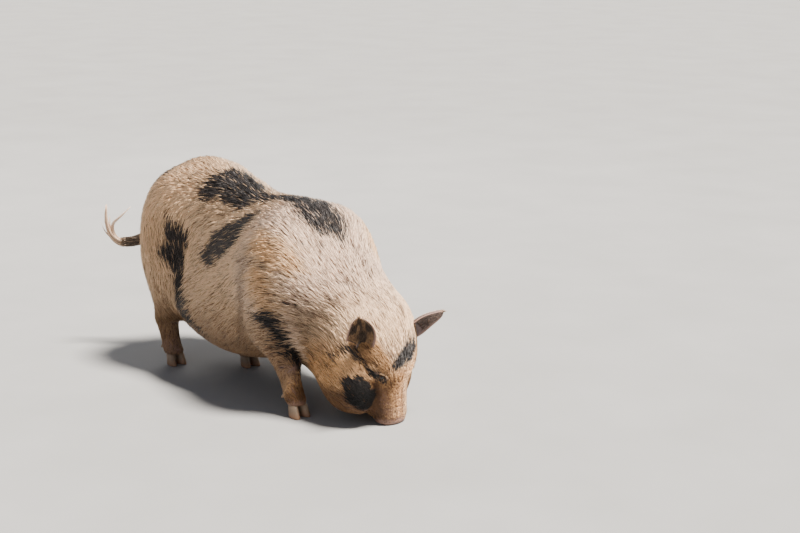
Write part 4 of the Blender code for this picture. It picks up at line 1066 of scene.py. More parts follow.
def build_tufts(name, corners, marks, uv):
    """One object from the seven corners of each tuft."""
    first = len(TUFT_ALONG) * np.arange(len(corners))
    faces = (TUFT_FACES[None] + first[:, None, None]).reshape(-1, 3)
    mesh_piece(name, corners.reshape(-1, 3), faces, "pig_coat", marks.reshape(-1, 4),
               uv.reshape(-1, 2))


def tuft_marks(dark, warm, light):
    """Each corner's marks: dark, warm (cool below zero), lightness, and its share of the length."""
    tuft = np.stack([dark, warm, light], -1)[:, None].repeat(len(TUFT_ALONG), 1)
    along = np.broadcast_to(TUFT_ALONG, tuft.shape[:2])[..., None]
    return np.concatenate([tuft, along], -1)


def make_skin():
    points, triangles = skin_mesh()
    mesh_piece("skin", points, triangles, "pig_skin", markings(points),
               replaces=("torso", "neck", "head", *LEGS))


def skin_triangles():
    """The skin's points, in drawn sizes, and its triangles, from its finished piece."""
    mesh = bpy.data.objects["skin"].data
    points = np.empty(len(mesh.vertices) * 3, np.float32)
    mesh.vertices.foreach_get("co", points)
    triangles = np.empty(len(mesh.loops), np.int32)
    mesh.loops.foreach_get("vertex_index", triangles)
    return (points.reshape(-1, 3).astype(float) - SHIFT) / SCALE, triangles.reshape(-1, 3)


def coat_roots(rng):
    """Where the tufts stand, closer where the hair is short, and the markings there."""
    points, triangles = skin_triangles()
    spacing = bpy.context.scene.pig_sizes.hair_spacing / SCALE
    spacing = spacing * hair_length(points[triangles].mean(1)) ** CLOSENESS
    roots = scatter(points, triangles, spacing, rng)
    marks = markings(roots)
    keep = rng.random(len(roots)) > BARE_THINNING * marks[:, 2]
    keep &= np.linalg.norm(mirrored(to_head(roots)) - NOSTRIL, axis=1) >= NOSTRIL_CLEAR
    keep &= roots[:, 2] > flesh_end(roots) + END_CLEAR
    for side in (-1.0, 1.0):
        space, away = eye_space(roots, side)
        keep &= (away >= EYE_CLEAR) | (np.linalg.norm(space, axis=1) >= LID_REACH)
    return roots[keep], marks[keep]


def coat_marks(roots, normals, marks, rng):
    """Marks of the tufts: streaked along the hair, paler on the top of the rump and on the jowl as
    painted light, darker where painted shade falls, dark hair mixed with some pale at the edges of the
    markings, and a pale fringe before the arm."""
    least, streaked, spread = LIGHTNESS
    light = least + streaked * streaks(roots, lie(roots, normals))
    light = light + spread * rng.normal(0.0, 1.0, len(roots))
    rump = smooth(roots[:, 2], 0.38, 0.48)
    light = light + RUMP_TOP_PAINTED_LIGHT * smooth(-roots[:, 0], 0.10, 0.30) * rump
    ahead = beyond_neck(roots)
    jowl = smooth(-to_head(roots)[:, 2], 0.02, 0.09)
    light = light + JOWL_PAINTED_LIGHT * jowl * smooth(ahead, -0.02, 0.02)
    fringe = within(chain_distance(roots, FRINGE), 0.010, 0.008)
    # Painted shade darkens the tufts, then the fringe adds its pale hair
    light = light * (1.0 - painted_shade(roots)) + FRINGE_LIGHT * fringe * (0.35 + 0.65 * light)
    spread = np.where(ahead > 0.0, *DARK_SPREAD)
    mixed = smooth(marks[:, 0] + spread * rng.normal(0.0, 1.0, len(roots)), 0.38, 0.62)
    odd = rng.random(len(roots)) < np.where(ahead > 0.0, *ODD_TUFTS)
    mixed = np.where(odd, mixed * 0.3, mixed)
    mixed = mixed * (1.0 - 0.85 * fringe)
    warm = marks[:, 1] - 0.5 * marks[:, 3] - 0.7 * fringe
    return tuft_marks(mixed, warm, np.clip(light, 0.0, 1.0))


def coat_regions(roots):
    """Each coat piece's name and the axis of its unwrap, and the number of each tuft's piece."""
    on_head = beyond_neck(roots) > 0.0
    height, half_width, reach = LEG_PIECE
    regions = []
    for name, (low, high) in PIECES.items():
        regions.append((name, TORSO_AXIS, (roots[:, 0] >= low) & (roots[:, 0] < high) & ~on_head))
    for name, (path, _) in LEGS.items():
        near = np.abs(roots[:, :2] - np.array(path)[2:4, :2].mean(0)).max(1) < half_width
        near &= (roots[:, 2] < height) & (limb(roots, path[1], path[3], 0.0, 0.0) < reach)
        regions.append((name.replace("leg", "coat_leg"), (path[1], path[4]), near & ~on_head))
    for name, side in (("coat_head_left", 1.0), ("coat_head_right", -1.0)):
        regions.append((name, from_head(HEAD_AXIS), on_head & (to_head(roots)[:, 1] * side >= 0.0)))
    number = np.full(len(roots), -1)
    for count, (_, _, inside) in enumerate(regions):
        number[inside] = count
    return regions, number


def make_coat():
    """The coat: one tuft from each root, in pieces by where the roots lie."""
    rng = np.random.default_rng(SEED)
    roots, marks = coat_roots(rng)
    _, normals = slope(bare_body, roots)
    corners = coat_tufts(roots, normals, rng)
    corners[..., 2] = np.maximum(corners[..., 2], FLOOR_GAP)
    strand = coat_marks(roots, normals, marks, rng)
    regions, number = coat_regions(roots)
    for count, (name, axis, _) in enumerate(regions):
        here = number == count
        uv = patch_uv(spread_uv(roots[here], *axis))
        build_tufts(name, corners[here], strand[here], uv)


def ear_points(side, u, v):
    """A leaf over u from root to tip and v from edge to edge, and the way it faces.

    Across the leaf runs an arc whose half width narrows to the tip, whose curl eases from the
    root to the tip, and whose middle line bends towards the side that the cup faces. Near the
    root the outer half of the arc may be drawn in towards the head.
    """
    root, reach, facing = (np.array(value) for value in EARS[side][:3])
    half_width, (root_curl, tip_curl), pinch = EARS[side][3:]
    length = np.linalg.norm(reach)
    along = reach / length
    facing = unit(facing - along * (facing @ along))
    across = np.cross(facing, along)
    share = np.clip(u, 0.0, 1.0)
    half = half_width * np.maximum(1.0 - share, 0.0) ** 0.62 * (0.80 + 0.60 * share)
    half = np.maximum(half, 0.0012)
    curl = root_curl + (tip_curl - root_curl) * share
    drawn_in = smooth(EAR_PINCH_END - u, 0.0, EAR_PINCH_END) * smooth(-side * v, 0.0, 0.5)
    angle = curl * v * (1.0 - pinch * drawn_in)
    radius = half / curl
    wave = 0.0012 * np.sin(5.0 * u + 2.0 * side) * v ** 2
    lean = side * EAR_LEAN * 4.0 * share * (1.0 - share)
    place = (from_head(root) + (u * length)[..., None] * along
             + (radius * np.sin(angle) + lean)[..., None] * across
             + (radius * (1.0 - np.cos(angle)) + EAR_BEND * share ** 2 + wave)[..., None] * facing)
    normal = np.cos(angle)[..., None] * facing - np.sin(angle)[..., None] * across
    return place, normal, along


def ear_marks(side, u, v, inner):
    """Marks of an ear: the right one dark inside, the left one darker at its root as painted shade in
    its cup, both with a pink rim.
    """
    rim = np.maximum(smooth(np.abs(v), 0.80, 0.97), smooth(u, 0.84, 0.97))
    flat = np.stack([u, v, 0.0 * u], -1)
    if side > 0.0:
        inner = np.zeros_like(inner)
    inside = 0.95 - 0.55 * smooth(noise(flat, 0.26, 12), 0.40, 0.70)
    # The left ear is darker towards its root, painted shade in its cup; the right ear's back is a
    # little darker there too
    outside = 0.55 - 0.45 * smooth(u, 0.10, 0.70) if side > 0.0 else 0.25 - 0.2 * u
    dark = np.where(inner, inside, outside + 0.30 * (noise(flat, 0.2, 4) - 0.5))
    dark = np.clip(dark * (1.0 - rim), 0.0, 1.0)
    warm = np.where(inner, 0.75, 0.0) * (1.0 - 0.6 * rim)
    bare = np.where(inner, 0.75, 0.20)
    return np.stack([dark, warm, np.maximum(bare, 0.8 * rim), np.where(inner, 0.0, 1.0 - rim)], -1)


def make_ears():
    """Each ear: two faces of the leaf a skin's thickness apart, and fine hair along them."""
    rng = np.random.default_rng(SEED + 1)
    for side, hand in ((1.0, "left"), (-1.0, "right")):
        length = np.linalg.norm(EARS[side][1])
        line = np.linspace(-EAR_SUNK / length, 1.0, EAR_ROWS)
        u, v = np.meshgrid(line, np.sin(np.linspace(-1.0, 1.0, EAR_COLUMNS) * math.pi / 2.0),
                           indexing="ij")
        place, normal, _ = ear_points(side, u, v)
        thick = 0.5 * EAR_THICKNESS * (1.0 - 0.45 * np.clip(u, 0.0, 1.0))
        thick = (thick * np.sqrt(np.maximum(1.0 - 0.9 * v ** 4, 0.1)))[..., None]
        rings = np.concatenate([place - thick * normal, (place + thick * normal)[:, ::-1]], 1)
        inner = np.concatenate([np.zeros_like(u, bool), np.ones_like(u, bool)], 1)
        both = [np.concatenate([value, value[:, ::-1]], 1) for value in (u, v)]
        marks = ear_marks(side, both[0], both[1], inner).reshape(-1, 4)
        marks = np.concatenate([marks, marks[:1], marks[-1:]])
        points, faces = closed_rings(rings)
        mesh_piece(f"ear_leaf_{hand}", points, faces, "pig_skin", marks,
                   replaces=(f"ear_{hand}",))
        ear_hair(side, hand, rng)


def ear_hair(side, hand, rng):
    """Fine hair on both faces of an ear, lying towards its tip, longest in the cup's mouth."""
    count = EAR_HAIRS[1]
    u = rng.random(count) ** 0.8 * 0.96
    v = rng.uniform(-0.86, 0.86, count)
    inner = rng.random(count) < 0.62
    place, normal, _ = ear_points(side, u, v)
    out = np.where(inner, 1.0, -1.0)[:, None] * normal
    start = place + 0.4 * EAR_THICKNESS * (1.0 - 0.45 * u)[:, None] * out
    ahead, _, _ = ear_points(side, np.minimum(u + 0.06, 1.0), v * 0.98)
    way = unit(ahead - place)
    size = rng.uniform(0.7, 1.3, count) * np.where(inner, 0.0115, 0.0070)
    size = size * np.where(u < 0.35, 1.25, 1.0)
    tip = start + size[:, None] * way + (0.0022 * rng.uniform(0.3, 1.5, count))[:, None] * out
    middle = 0.5 * (start + tip) + 0.0006 * out
    across = unit(np.cross(out, way))
    width = rng.uniform(0.0009, 0.0015, count)
    corners = tuft_rings(start - 0.0008 * out, middle, tip, (out, out), (across, across), width,
                         0.3 * width)
    marks = ear_marks(side, u, v, inner)
    light = np.where(inner, rng.uniform(0.0, 0.85, count), rng.uniform(0.15, 0.9, count))
    uv = patch_uv(0.02 + 0.96 * np.stack([0.5 * u + 0.5 * inner, 0.5 + 0.5 * v], -1))
    dark = marks[:, 0] * rng.uniform(0.85, 1.0, count)
    build_tufts(f"ear_hair_{hand}", corners, tuft_marks(dark, marks[:, 1] - marks[:, 3], light), uv)


def make_eyes():
    """Each eyeball: a ball whose front third bulges as the cornea, and a row of lashes."""
    rng = np.random.default_rng(SEED + 2)
    for side, hand in ((1.0, "left"), (-1.0, "right")):
        middle, axes = eye_frame(side)
        down = np.linspace(0.03, math.pi - 0.03, EYEBALL_ROWS)[:, None]
        turn = np.linspace(0.0, 2.0 * math.pi, EYEBALL_SIDES, endpoint=False)[None]
        radius = EYE_RADIUS + CORNEA_SWELL * np.exp(-(down / 0.55) ** 4) + 0.0 * turn
        local = np.stack([radius * np.sin(down) * np.cos(turn), radius * np.sin(down) * np.sin(turn),
                          radius * np.cos(down) + 0.0 * turn], -1)
        points, faces = closed_rings(middle + local @ axes.T)
        angle = np.concatenate([np.repeat(down.ravel(), EYEBALL_SIDES), [0.0, math.pi]]) / math.pi
        marks = np.stack([angle] * 4, -1)
        mesh_piece(f"eyeball_{hand}", points, faces, "pig_eye", marks, replaces=(f"eye_{hand}",))
        eye_lashes(side, hand, rng)


def eye_lashes(side, hand, rng):
    """Lashes along both lids, longer above, fanned outwards from the opening and curved."""
    middle, axes = eye_frame(side)
    angle = math.pi * np.concatenate([rng.uniform(0.15, 0.85, UPPER_LASHES),
                                      rng.uniform(1.20, 1.80, LOWER_LASHES)])
    count = len(angle)
    upper = angle < math.pi
    rim = np.stack([1.10 * EYE_OPENING[0] * np.cos(angle), 1.35 * EYE_OPENING[1] * np.sin(angle),
                    np.full(count, 0.0105)], 1)
    start, normal = at_height(skin_field, middle + rim @ axes.T, 0.0, 3)
    fan = unit(np.stack([0.6 * np.cos(angle) + rng.normal(0, 0.12, count),
                         0.9 * np.sin(angle), np.full(count, 0.75)], 1)) @ axes.T
    size = np.where(upper, 0.0075, 0.0045) * rng.uniform(0.75, 1.15, count)
    curve = 0.35 * axes[:, 1] * np.where(upper, 1.0, -1.0)[:, None]
    tip = start + size[:, None] * unit(fan + curve)
    across = unit(np.cross(fan, normal))
    width = np.full(count, LASH_WIDTH)
    corners = tuft_rings(start - 0.001 * fan, start + 0.5 * size[:, None] * fan, tip,
                         (normal, normal), (across, across), width, 0.8 * width)
    dark, light = rng.uniform(0.0, 0.3, count), rng.uniform(0.5, 1.0, count)
    marks = tuft_marks(dark, np.full(count, 0.5), light)
    round_eye = 0.05 + 0.9 * angle / (2.0 * math.pi)
    uv = patch_uv(np.stack([round_eye, rng.uniform(0.1, 0.9, count)], -1))
    build_tufts(f"lashes_{hand}", corners, marks, uv)


def make_tail():
    """The dock: a round tube that thins to its end. The switch: fine strands round curved lines."""
    rng = np.random.default_rng(SEED + 3)
    path = curve_through(DOCK_POINTS, DOCK_STATIONS)
    share = np.linspace(0.0, 1.0, DOCK_STATIONS)
    radii = DOCK_RADII[0] + (DOCK_RADII[1] - DOCK_RADII[0]) * share
    radii = radii * (1.0 + 0.012 * np.sin(60.0 * share))
    radii = radii * np.sqrt(1.0 - 0.7 * smooth(share, 0.94, 1.0))
    points, faces = closed_rings(tube_rings(path, radii, DOCK_SIDES))
    dark = np.repeat(0.75 * smooth(share, 0.25, 0.45) - 0.5 * smooth(share, 0.90, 1.0), DOCK_SIDES)
    dark = np.concatenate([dark, [0.0, 0.3]])
    marks = np.stack([dark, 0.1 + 0 * dark, 0.6 + 0 * dark, 0 * dark], -1)
    mesh_piece("tail_dock", points, faces, "pig_skin", marks, replaces=("tail",))
    dock_hair(path, radii, share, rng)
    make_switch(path, rng)


def dock_hair(path, radii, share, rng):
    """Short hair that lies along the dock towards its end."""
    count = DOCK_HAIRS[1]
    place = rng.uniform(0.0, DOCK_STATIONS - 2.001, count)
    span = place.astype(int)
    t = (place - span)[:, None]
    centre = path[span] * (1.0 - t) + path[span + 1] * t
    along = unit(np.gradient(path, axis=0))[span]
    side = unit(np.cross(along, np.array((0.0, 0.0, 1.0))))
    turn = rng.uniform(0.0, 2.0 * math.pi, count)[:, None]
    out = np.cos(turn) * side + np.sin(turn) * np.cross(side, along)
    start = centre + (radii[span] - 0.0006)[:, None] * out
    size = rng.uniform(0.010, 0.020, count)[:, None]
    middle = start + 0.5 * size * along + 0.0016 * out
    tip = start + size * along + 0.0030 * out
    across = np.cross(out, along)
    width = rng.uniform(0.0010, 0.0018, count)
    corners = tuft_rings(start, middle, tip, (out, out), (across, across), width, 0.35 * width)
    dark = 0.85 * smooth(share[span], 0.22, 0.42) - 0.8 * smooth(share[span], 0.88, 0.99)
    dark = np.clip(dark + 0.12 * rng.normal(0, 1, count), 0, 1)
    marks = tuft_marks(dark, np.full(count, 0.1), rng.uniform(0.3, 0.95, count))
    position = np.stack([place / DOCK_STATIONS, turn[:, 0] / (2 * math.pi)], -1)
    build_tufts("dock_hair", corners, marks, patch_uv(0.02 + 0.96 * position))


def make_switch(path, rng):
    """Long fine hairs: each follows its strand's line at its own place across it, to a point."""
    tip = path[-1]
    along = unit(path[-1] - path[-2])
    share = np.linspace(0.0, 1.0, SWITCH_STATIONS)
    radii = SWITCH_RADIUS * (1.0 - 0.85 * share ** 2)
    rings = []
    for half_width, hairs, strand in STRANDS:
        line = curve_through([tip - 0.010 * along, tip + 0.004 * along]
                             + [tip + np.array(point) for point in strand], SWITCH_STATIONS)
        way = unit(np.gradient(line, axis=0))
        side = unit(np.cross(way, np.array((0.6, 0.8, 0.1))))
        up = np.cross(side, way)
        offset = rng.normal(0.0, 0.52, (hairs, 2))
        reach = rng.uniform(0.72, 1.0, hairs)
        spread = 1.0 - 0.82 * share ** 1.2
        for k in range(hairs):
            own, own_side, own_up = (
                np.stack([np.interp(share * reach[k], share, value) for value in values.T], 1)
                for values in (line, side, up))
            wave = 0.0006 * np.sin(9.0 * share + 6.28 * offset[k, 0])
            hair = own + (half_width * offset[k, 0] * spread + wave)[:, None] * own_side
            hair = hair + (half_width * offset[k, 1] * spread)[:, None] * own_up
            rings.append(tube_rings(hair, radii, SWITCH_SIDES, (0.3, 0.5, 0.8)))
    points, faces, marks, uv = [], [], [], []
    along_share = np.concatenate([np.repeat(share, SWITCH_SIDES), [0.0, 1.0]])
    even = np.ones(len(along_share))
    for number, ring in enumerate(rings):
        own_points, own_faces = closed_rings(ring)
        points.append(own_points)
        faces.append(own_faces + number * len(own_points))
        light = 0.70 + 0.30 * ((number * 7) % 11) / 11.0
        marks.append(np.stack([0.0 * even, -0.35 * even, light * even, 0.70 + 0.30 * along_share], -1))
        uv.append(0.02 + 0.96 * np.stack([along_share, number / len(rings) * even], -1))
    mesh_piece("tail_hair", np.concatenate(points), np.concatenate(faces), "pig_coat",
               np.concatenate(marks), np.concatenate(uv), replaces=("tail_switch",))


def hoof_rings(name, inner):
    """One toe's rings from the sole up: flat-sided ovals that draw in and lean back as they rise."""
    foot = np.array(LEGS[name][0][4])
    heights, lengths, widths, leans = np.array(HOOF_LEVELS).T
    level = np.linspace(0.0, 1.0, HOOF_ROWS) * heights[-1]
    length, width, lean = (np.interp(level, heights, value) for value in (lengths, widths, leans))
    rounding = HOOF_EDGE * (1.0 - smooth(level, 0.0, 0.003))
    dome = 0.004 * smooth(level, heights[-1] - 0.006, heights[-1])
    turn = np.linspace(0.0, 2.0 * math.pi, HOOF_SIDES, endpoint=False)[None]
    reach = np.where(np.cos(turn) > 0.0, 1.0, 0.7) * (length - rounding - dome)[:, None]
    growth = 0.00022 * np.sin(level * 2300.0)[:, None]
    x = lean[:, None] + (reach + growth) * np.sign(np.cos(turn)) * np.abs(np.cos(turn)) ** 0.9
    y = inner * HOOF_SPREAD + (width - rounding - dome + growth[:, 0])[:, None] * np.sin(turn)
    y = y + inner * 0.1 * np.maximum(x, 0.0)
    z = np.broadcast_to(level[:, None], x.shape)
    return np.stack([foot[0] + x, foot[1] + y, z], -1)


def make_feet():
    """Two hooves and two dewclaws on each foot."""
    for name in LEGS:
        place = name.removeprefix("leg_")
        for inner, toe in ((1.0, "a"), (-1.0, "b")):
            points, faces = closed_rings(hoof_rings(name, inner))
            mesh_piece(f"toe_{place}_{toe}", points, faces, "pig_horn",
                       replaces=(f"hoof_{place}_{toe}",))
            turned = np.array((1.0, inner, 1.0))
            first = np.array(LEGS[name][0][3]) + DEWCLAW_ROOT * turned
            last = first + DEWCLAW_REACH * turned
            share = np.linspace(0.0, 1.0, 16)[:, None]
            path = first + share * (last - first) + 0.002 * np.array((-1.0, 0.0, 0.0)) * share ** 2
            share = share[:, 0]
            radii = DEWCLAW_RADIUS * (1.0 - 0.55 * share) * np.sqrt(1.0 - 0.96 * share ** 6)
            points, faces = closed_rings(tube_rings(path, radii, 20, (0.0, 1.0, 0.0)))
            mesh_piece(f"claw_{place}_{toe}", points, faces, "pig_horn",
                       replaces=(f"dewclaw_{place}_{toe}",))


def node(tree, kind, values=None, **settings):
    """A shader node with its settings and the values of its unlinked inputs."""
    new = tree.nodes.new(kind)
    for key, value in settings.items():
        setattr(new, key, value)
    for key, value in (values or {}).items():
        new.inputs[key].default_value = value
    return new


def ramp(tree, factor, stops):
    """A colour ramp over a factor."""
    new = tree.nodes.new("ShaderNodeValToRGB")
    elements = new.color_ramp.elements
    while len(elements) < len(stops):
        elements.new(0.5)
    for element, (place, colour) in zip(elements, stops):
        element.position = place
        element.color = (*colour, 1.0)
    tree.links.new(factor, new.inputs[0])
    return new.outputs[0]


def plug(tree, value, socket):
    """Link an output to an input, or set the input to a number or to a colour's three values."""
    if isinstance(value, bpy.types.NodeSocket):
        tree.links.new(value, socket)
    elif isinstance(value, float):
        socket.default_value = value
    else:
        socket.default_value = (*value, 1.0)


def mix(tree, factor, first, second, kind="MIX"):
    """Two colours mixed by a factor."""
    new = node(tree, "ShaderNodeMix", data_type="RGBA", blend_type=kind)
    for number, value in ((0, factor), (6, first), (7, second)):
        plug(tree, value, new.inputs[number])
    return new.outputs[2]


def math_node(tree, operation, first, second=0.0, third=0.0):
    new = node(tree, "ShaderNodeMath", operation=operation)
    for socket, value in zip(new.inputs, (first, second, third)):
        plug(tree, value, socket)
    return new.outputs[0]


def object_place(tree):
    """The piece's own coordinates."""
    return node(tree, "ShaderNodeTexCoord").outputs["Object"]


def grain(tree, place, scale, detail=3.0, roughness=0.55):
    """A noise value over the piece's own coordinates."""
    new = node(tree, "ShaderNodeTexNoise", {"Scale": scale, "Detail": detail, "Roughness": roughness})
    tree.links.new(place, new.inputs["Vector"])
    return new.outputs["Fac"]


def make_group(name, inputs, outputs):
    """An empty shader node group with named number sockets, and its two end nodes."""
    tree = bpy.data.node_groups.new(name, "ShaderNodeTree")
    for label, value in inputs:
        socket = tree.interface.new_socket(label, in_out="INPUT", socket_type="NodeSocketFloat")
        socket.default_value = value
    for label in outputs:
        tree.interface.new_socket(label, in_out="OUTPUT", socket_type="NodeSocketFloat")
    return tree, tree.nodes.new("NodeGroupInput"), tree.nodes.new("NodeGroupOutput")


def marks_group():
    """The marks of a piece, parted: dark hair, warm hair, the third mark, and the last."""
    tree, _, out = make_group("pig marks", (), ("Dark", "Warm", "Third", "Last"))
    attribute = node(tree, "ShaderNodeAttribute", attribute_name="marks")
    parts = node(tree, "ShaderNodeSeparateColor")
    tree.links.new(attribute.outputs["Color"], parts.inputs[0])
    for socket, label in zip(parts.outputs, ("Dark", "Warm", "Third")):
        tree.links.new(socket, out.inputs[label])
    tree.links.new(attribute.outputs["Alpha"], out.inputs["Last"])
    return tree


def mottle_group():
    """Mottling at two scales over Object coordinates: a broad tone and a fine one, from 0 to 1."""
    tree, given, out = make_group("pig mottle", (("Broad scale", 18.0), ("Fine scale", 160.0)),
                                  ("Broad", "Fine"))
    place = object_place(tree)
    for label, scale in (("Broad", "Broad scale"), ("Fine", "Fine scale")):
        new = node(tree, "ShaderNodeTexNoise", {"Detail": 4.0, "Roughness": 0.6})
        tree.links.new(place, new.inputs["Vector"])
        tree.links.new(given.outputs[scale], new.inputs["Scale"])
        tree.links.new(new.outputs["Fac"], out.inputs[label])
    return tree


def use_group(tree, name, values=None):
    new = tree.nodes.new("ShaderNodeGroup")
    new.node_tree = bpy.data.node_groups[name]
    for key, value in (values or {}).items():
        new.inputs[key].default_value = value
    return new


def new_look(name, roughness, specular=0.5):
    """An empty material and its shader."""
    look = bpy.data.materials.new(name)
    look.use_nodes = True
    tree = look.node_tree
    shader = tree.nodes["Principled BSDF"]
    shader.inputs["Roughness"].default_value = roughness
    shader.inputs["Specular IOR Level"].default_value = specular
    return tree, shader


def bump(tree, shader, height, distance, strength=1.0):
    new = node(tree, "ShaderNodeBump", {"Distance": distance, "Strength": strength})
    tree.links.new(height, new.inputs["Height"])
    tree.links.new(new.outputs[0], shader.inputs["Normal"])


def coat_look(colours):
    """Hair: paler from root to tip as painted shade among the tufts, and in streaks, then warm, cool
    or dark by its marks.
    """
    tree, shader = new_look("pig_coat", 0.48, 0.35)
    marks = use_group(tree, "pig marks")
    dark, warm, light, along = (marks.outputs[k] for k in range(4))
    pale = mix(tree, light, colours.pale_root, colours.pale_tip)
    tawny = mix(tree, light, colours.warm_root, colours.warm_tip)
    cool = mix(tree, light, colours.cool_root, colours.cool_tip)
    base = mix(tree, warm, pale, tawny)
    base = mix(tree, math_node(tree, "MULTIPLY", warm, -1.0), base, cool)
    # Painted shade: each tuft darker towards its root, where it lies among the others
    shade = ramp(tree, along, ((0.0, (0.20, 0.16, 0.13)), (0.45, (0.76, 0.72, 0.68)),
                               (1.0, (1.0, 1.0, 1.0))))
    base = mix(tree, 1.0, base, shade, "MULTIPLY")
    # Black hair, lighter along its light streaks as a painted sheen
    black = mix(tree, math_node(tree, "POWER", light, 2.0), colours.dark, colours.dark_hair_sheen)
    base = mix(tree, dark, base, black)
    fine = use_group(tree, "pig mottle", {"Broad scale": 24.0, "Fine scale": 420.0})
    tone = ramp(tree, fine.outputs[1], ((0.25, (0.80, 0.80, 0.80)), (0.75, (1.0, 1.0, 1.0))))
    base = mix(tree, 1.0, base, tone, "MULTIPLY")
    tree.links.new(base, shader.inputs["Base Color"])
    rough = math_node(tree, "MULTIPLY_ADD", fine.outputs[0], 0.20, 0.38)
    tree.links.new(rough, shader.inputs["Roughness"])
    bump(tree, shader, fine.outputs[1], 0.0002, 0.4)


def skin_look(colours):
    """Skin: pinkish grey with blotches, dark under dark hair, wet and pink at the snout."""
    tree, shader = new_look("pig_skin", 0.55, 0.4)
    marks = use_group(tree, "pig marks")
    dark, warm, bare, cool = (marks.outputs[k] for k in range(4))
    mottle = use_group(tree, "pig mottle", {"Broad scale": 30.0, "Fine scale": 340.0})
    base = mix(tree, mottle.outputs[0], colours.skin_shade, colours.skin)
    base = mix(tree, math_node(tree, "MULTIPLY", cool, 0.75), base, colours.skin_cool)
    base = mix(tree, math_node(tree, "MULTIPLY", warm, 0.8), base, colours.warm_root)
    pink = mix(tree, mottle.outputs[1], colours.snout, colours.snout_light)
    base = mix(tree, math_node(tree, "MULTIPLY", bare, 0.8), base, pink)
    base = mix(tree, dark, base, colours.dark)
    freckle = ramp(tree, mottle.outputs[1], ((0.30, (0.62, 0.60, 0.60)), (0.52, (1.0, 1.0, 1.0))))
    base = mix(tree, 1.0, base, freckle, "MULTIPLY")
    tree.links.new(base, shader.inputs["Base Color"])
    rough = math_node(tree, "MULTIPLY_ADD", bare, -0.16, 0.62)
    tree.links.new(rough, shader.inputs["Roughness"])
    place = object_place(tree)
    cells = node(tree, "ShaderNodeTexVoronoi", {"Scale": 420.0}, feature="DISTANCE_TO_EDGE")
    tree.links.new(place, cells.inputs["Vector"])
    height = math_node(tree, "MULTIPLY_ADD", cells.outputs["Distance"], 1.0, mottle.outputs[1])
    bump(tree, shader, height, 0.0006, 0.5)


def horn_look(colours):
    """Hoof horn: growth rings, streaks from the coronet down, and dried soil near the sole."""
    tree, shader = new_look("pig_horn", 0.45, 0.45)
    place = object_place(tree)
    parts = node(tree, "ShaderNodeSeparateXYZ")
    tree.links.new(place, parts.inputs[0])
    drawn = node(tree, "ShaderNodeMapping")
    drawn.inputs["Scale"].default_value = (1.0, 1.0, 0.12)
    tree.links.new(place, drawn.inputs["Vector"])
    streak = grain(tree, drawn.outputs[0], 520.0, 3.0)
    rings = node(tree, "ShaderNodeTexWave", {"Scale": 120.0, "Distortion": 2.0, "Detail": 2.0},
                 wave_type="BANDS", bands_direction="Z")
    tree.links.new(place, rings.inputs["Vector"])
    base = mix(tree, streak, colours.horn_shade, colours.horn)
    ringed = ramp(tree, rings.outputs["Fac"], ((0.0, (0.78, 0.76, 0.74)), (1.0, (1.0, 1.0, 1.0))))
    base = mix(tree, 1.0, base, ringed, "MULTIPLY")
    low = math_node(tree, "MULTIPLY_ADD", parts.outputs[2], -60.0, 1.05)
    soil = grain(tree, place, 90.0, 4.0)
    soiled = math_node(tree, "MULTIPLY", low, math_node(tree, "MULTIPLY", soil, 1.5))
    limit = node(tree, "ShaderNodeClamp")
    tree.links.new(soiled, limit.inputs[0])
    base = mix(tree, limit.outputs[0], base, colours.soil)
    tree.links.new(base, shader.inputs["Base Color"])
    rough = math_node(tree, "MULTIPLY_ADD", limit.outputs[0], 0.35, 0.42)
    tree.links.new(rough, shader.inputs["Roughness"])
    height = math_node(tree, "ADD", rings.outputs["Fac"], streak)
    bump(tree, shader, height, 0.0004, 0.6)


def eye_look(colours):
    """An eye by the angle from its middle: pupil, brown iris with fine spokes, then the white."""
    tree, shader = new_look("pig_eye", 0.20, 0.25)
    marks = use_group(tree, "pig marks")
    place = object_place(tree)
    spokes = grain(tree, place, 900.0, 2.0)
    angle = math_node(tree, "MULTIPLY_ADD", spokes, 0.012, marks.outputs[0])
    base = ramp(tree, angle, ((0.0, (0.003, 0.003, 0.003)), (0.125, (0.004, 0.003, 0.003)),
                              (0.150, colours.iris), (0.235, (0.020, 0.010, 0.005)),
                              (0.262, (0.006, 0.005, 0.004)), (0.36, (0.030, 0.018, 0.014))))
    tree.links.new(base, shader.inputs["Base Color"])
    shader.inputs["Coat Weight"].default_value = 0.20
    shader.inputs["Coat Roughness"].default_value = 0.05


def floor_look(colours):
    """The floor: a pale grey with broad, faint clouds."""
    tree, shader = new_look("studio_floor", 0.9, 0.2)
    place = object_place(tree)
    tone = ramp(tree, grain(tree, place, 3.0), ((0.3, colours.floor_shade), (0.7, colours.floor)))
    tree.links.new(tone, shader.inputs["Base Color"])


def make_looks():
    marks_group()
    mottle_group()
    for look in (coat_look, skin_look, horn_look, eye_look, floor_look):
        look(bpy.context.scene.pig_colours)


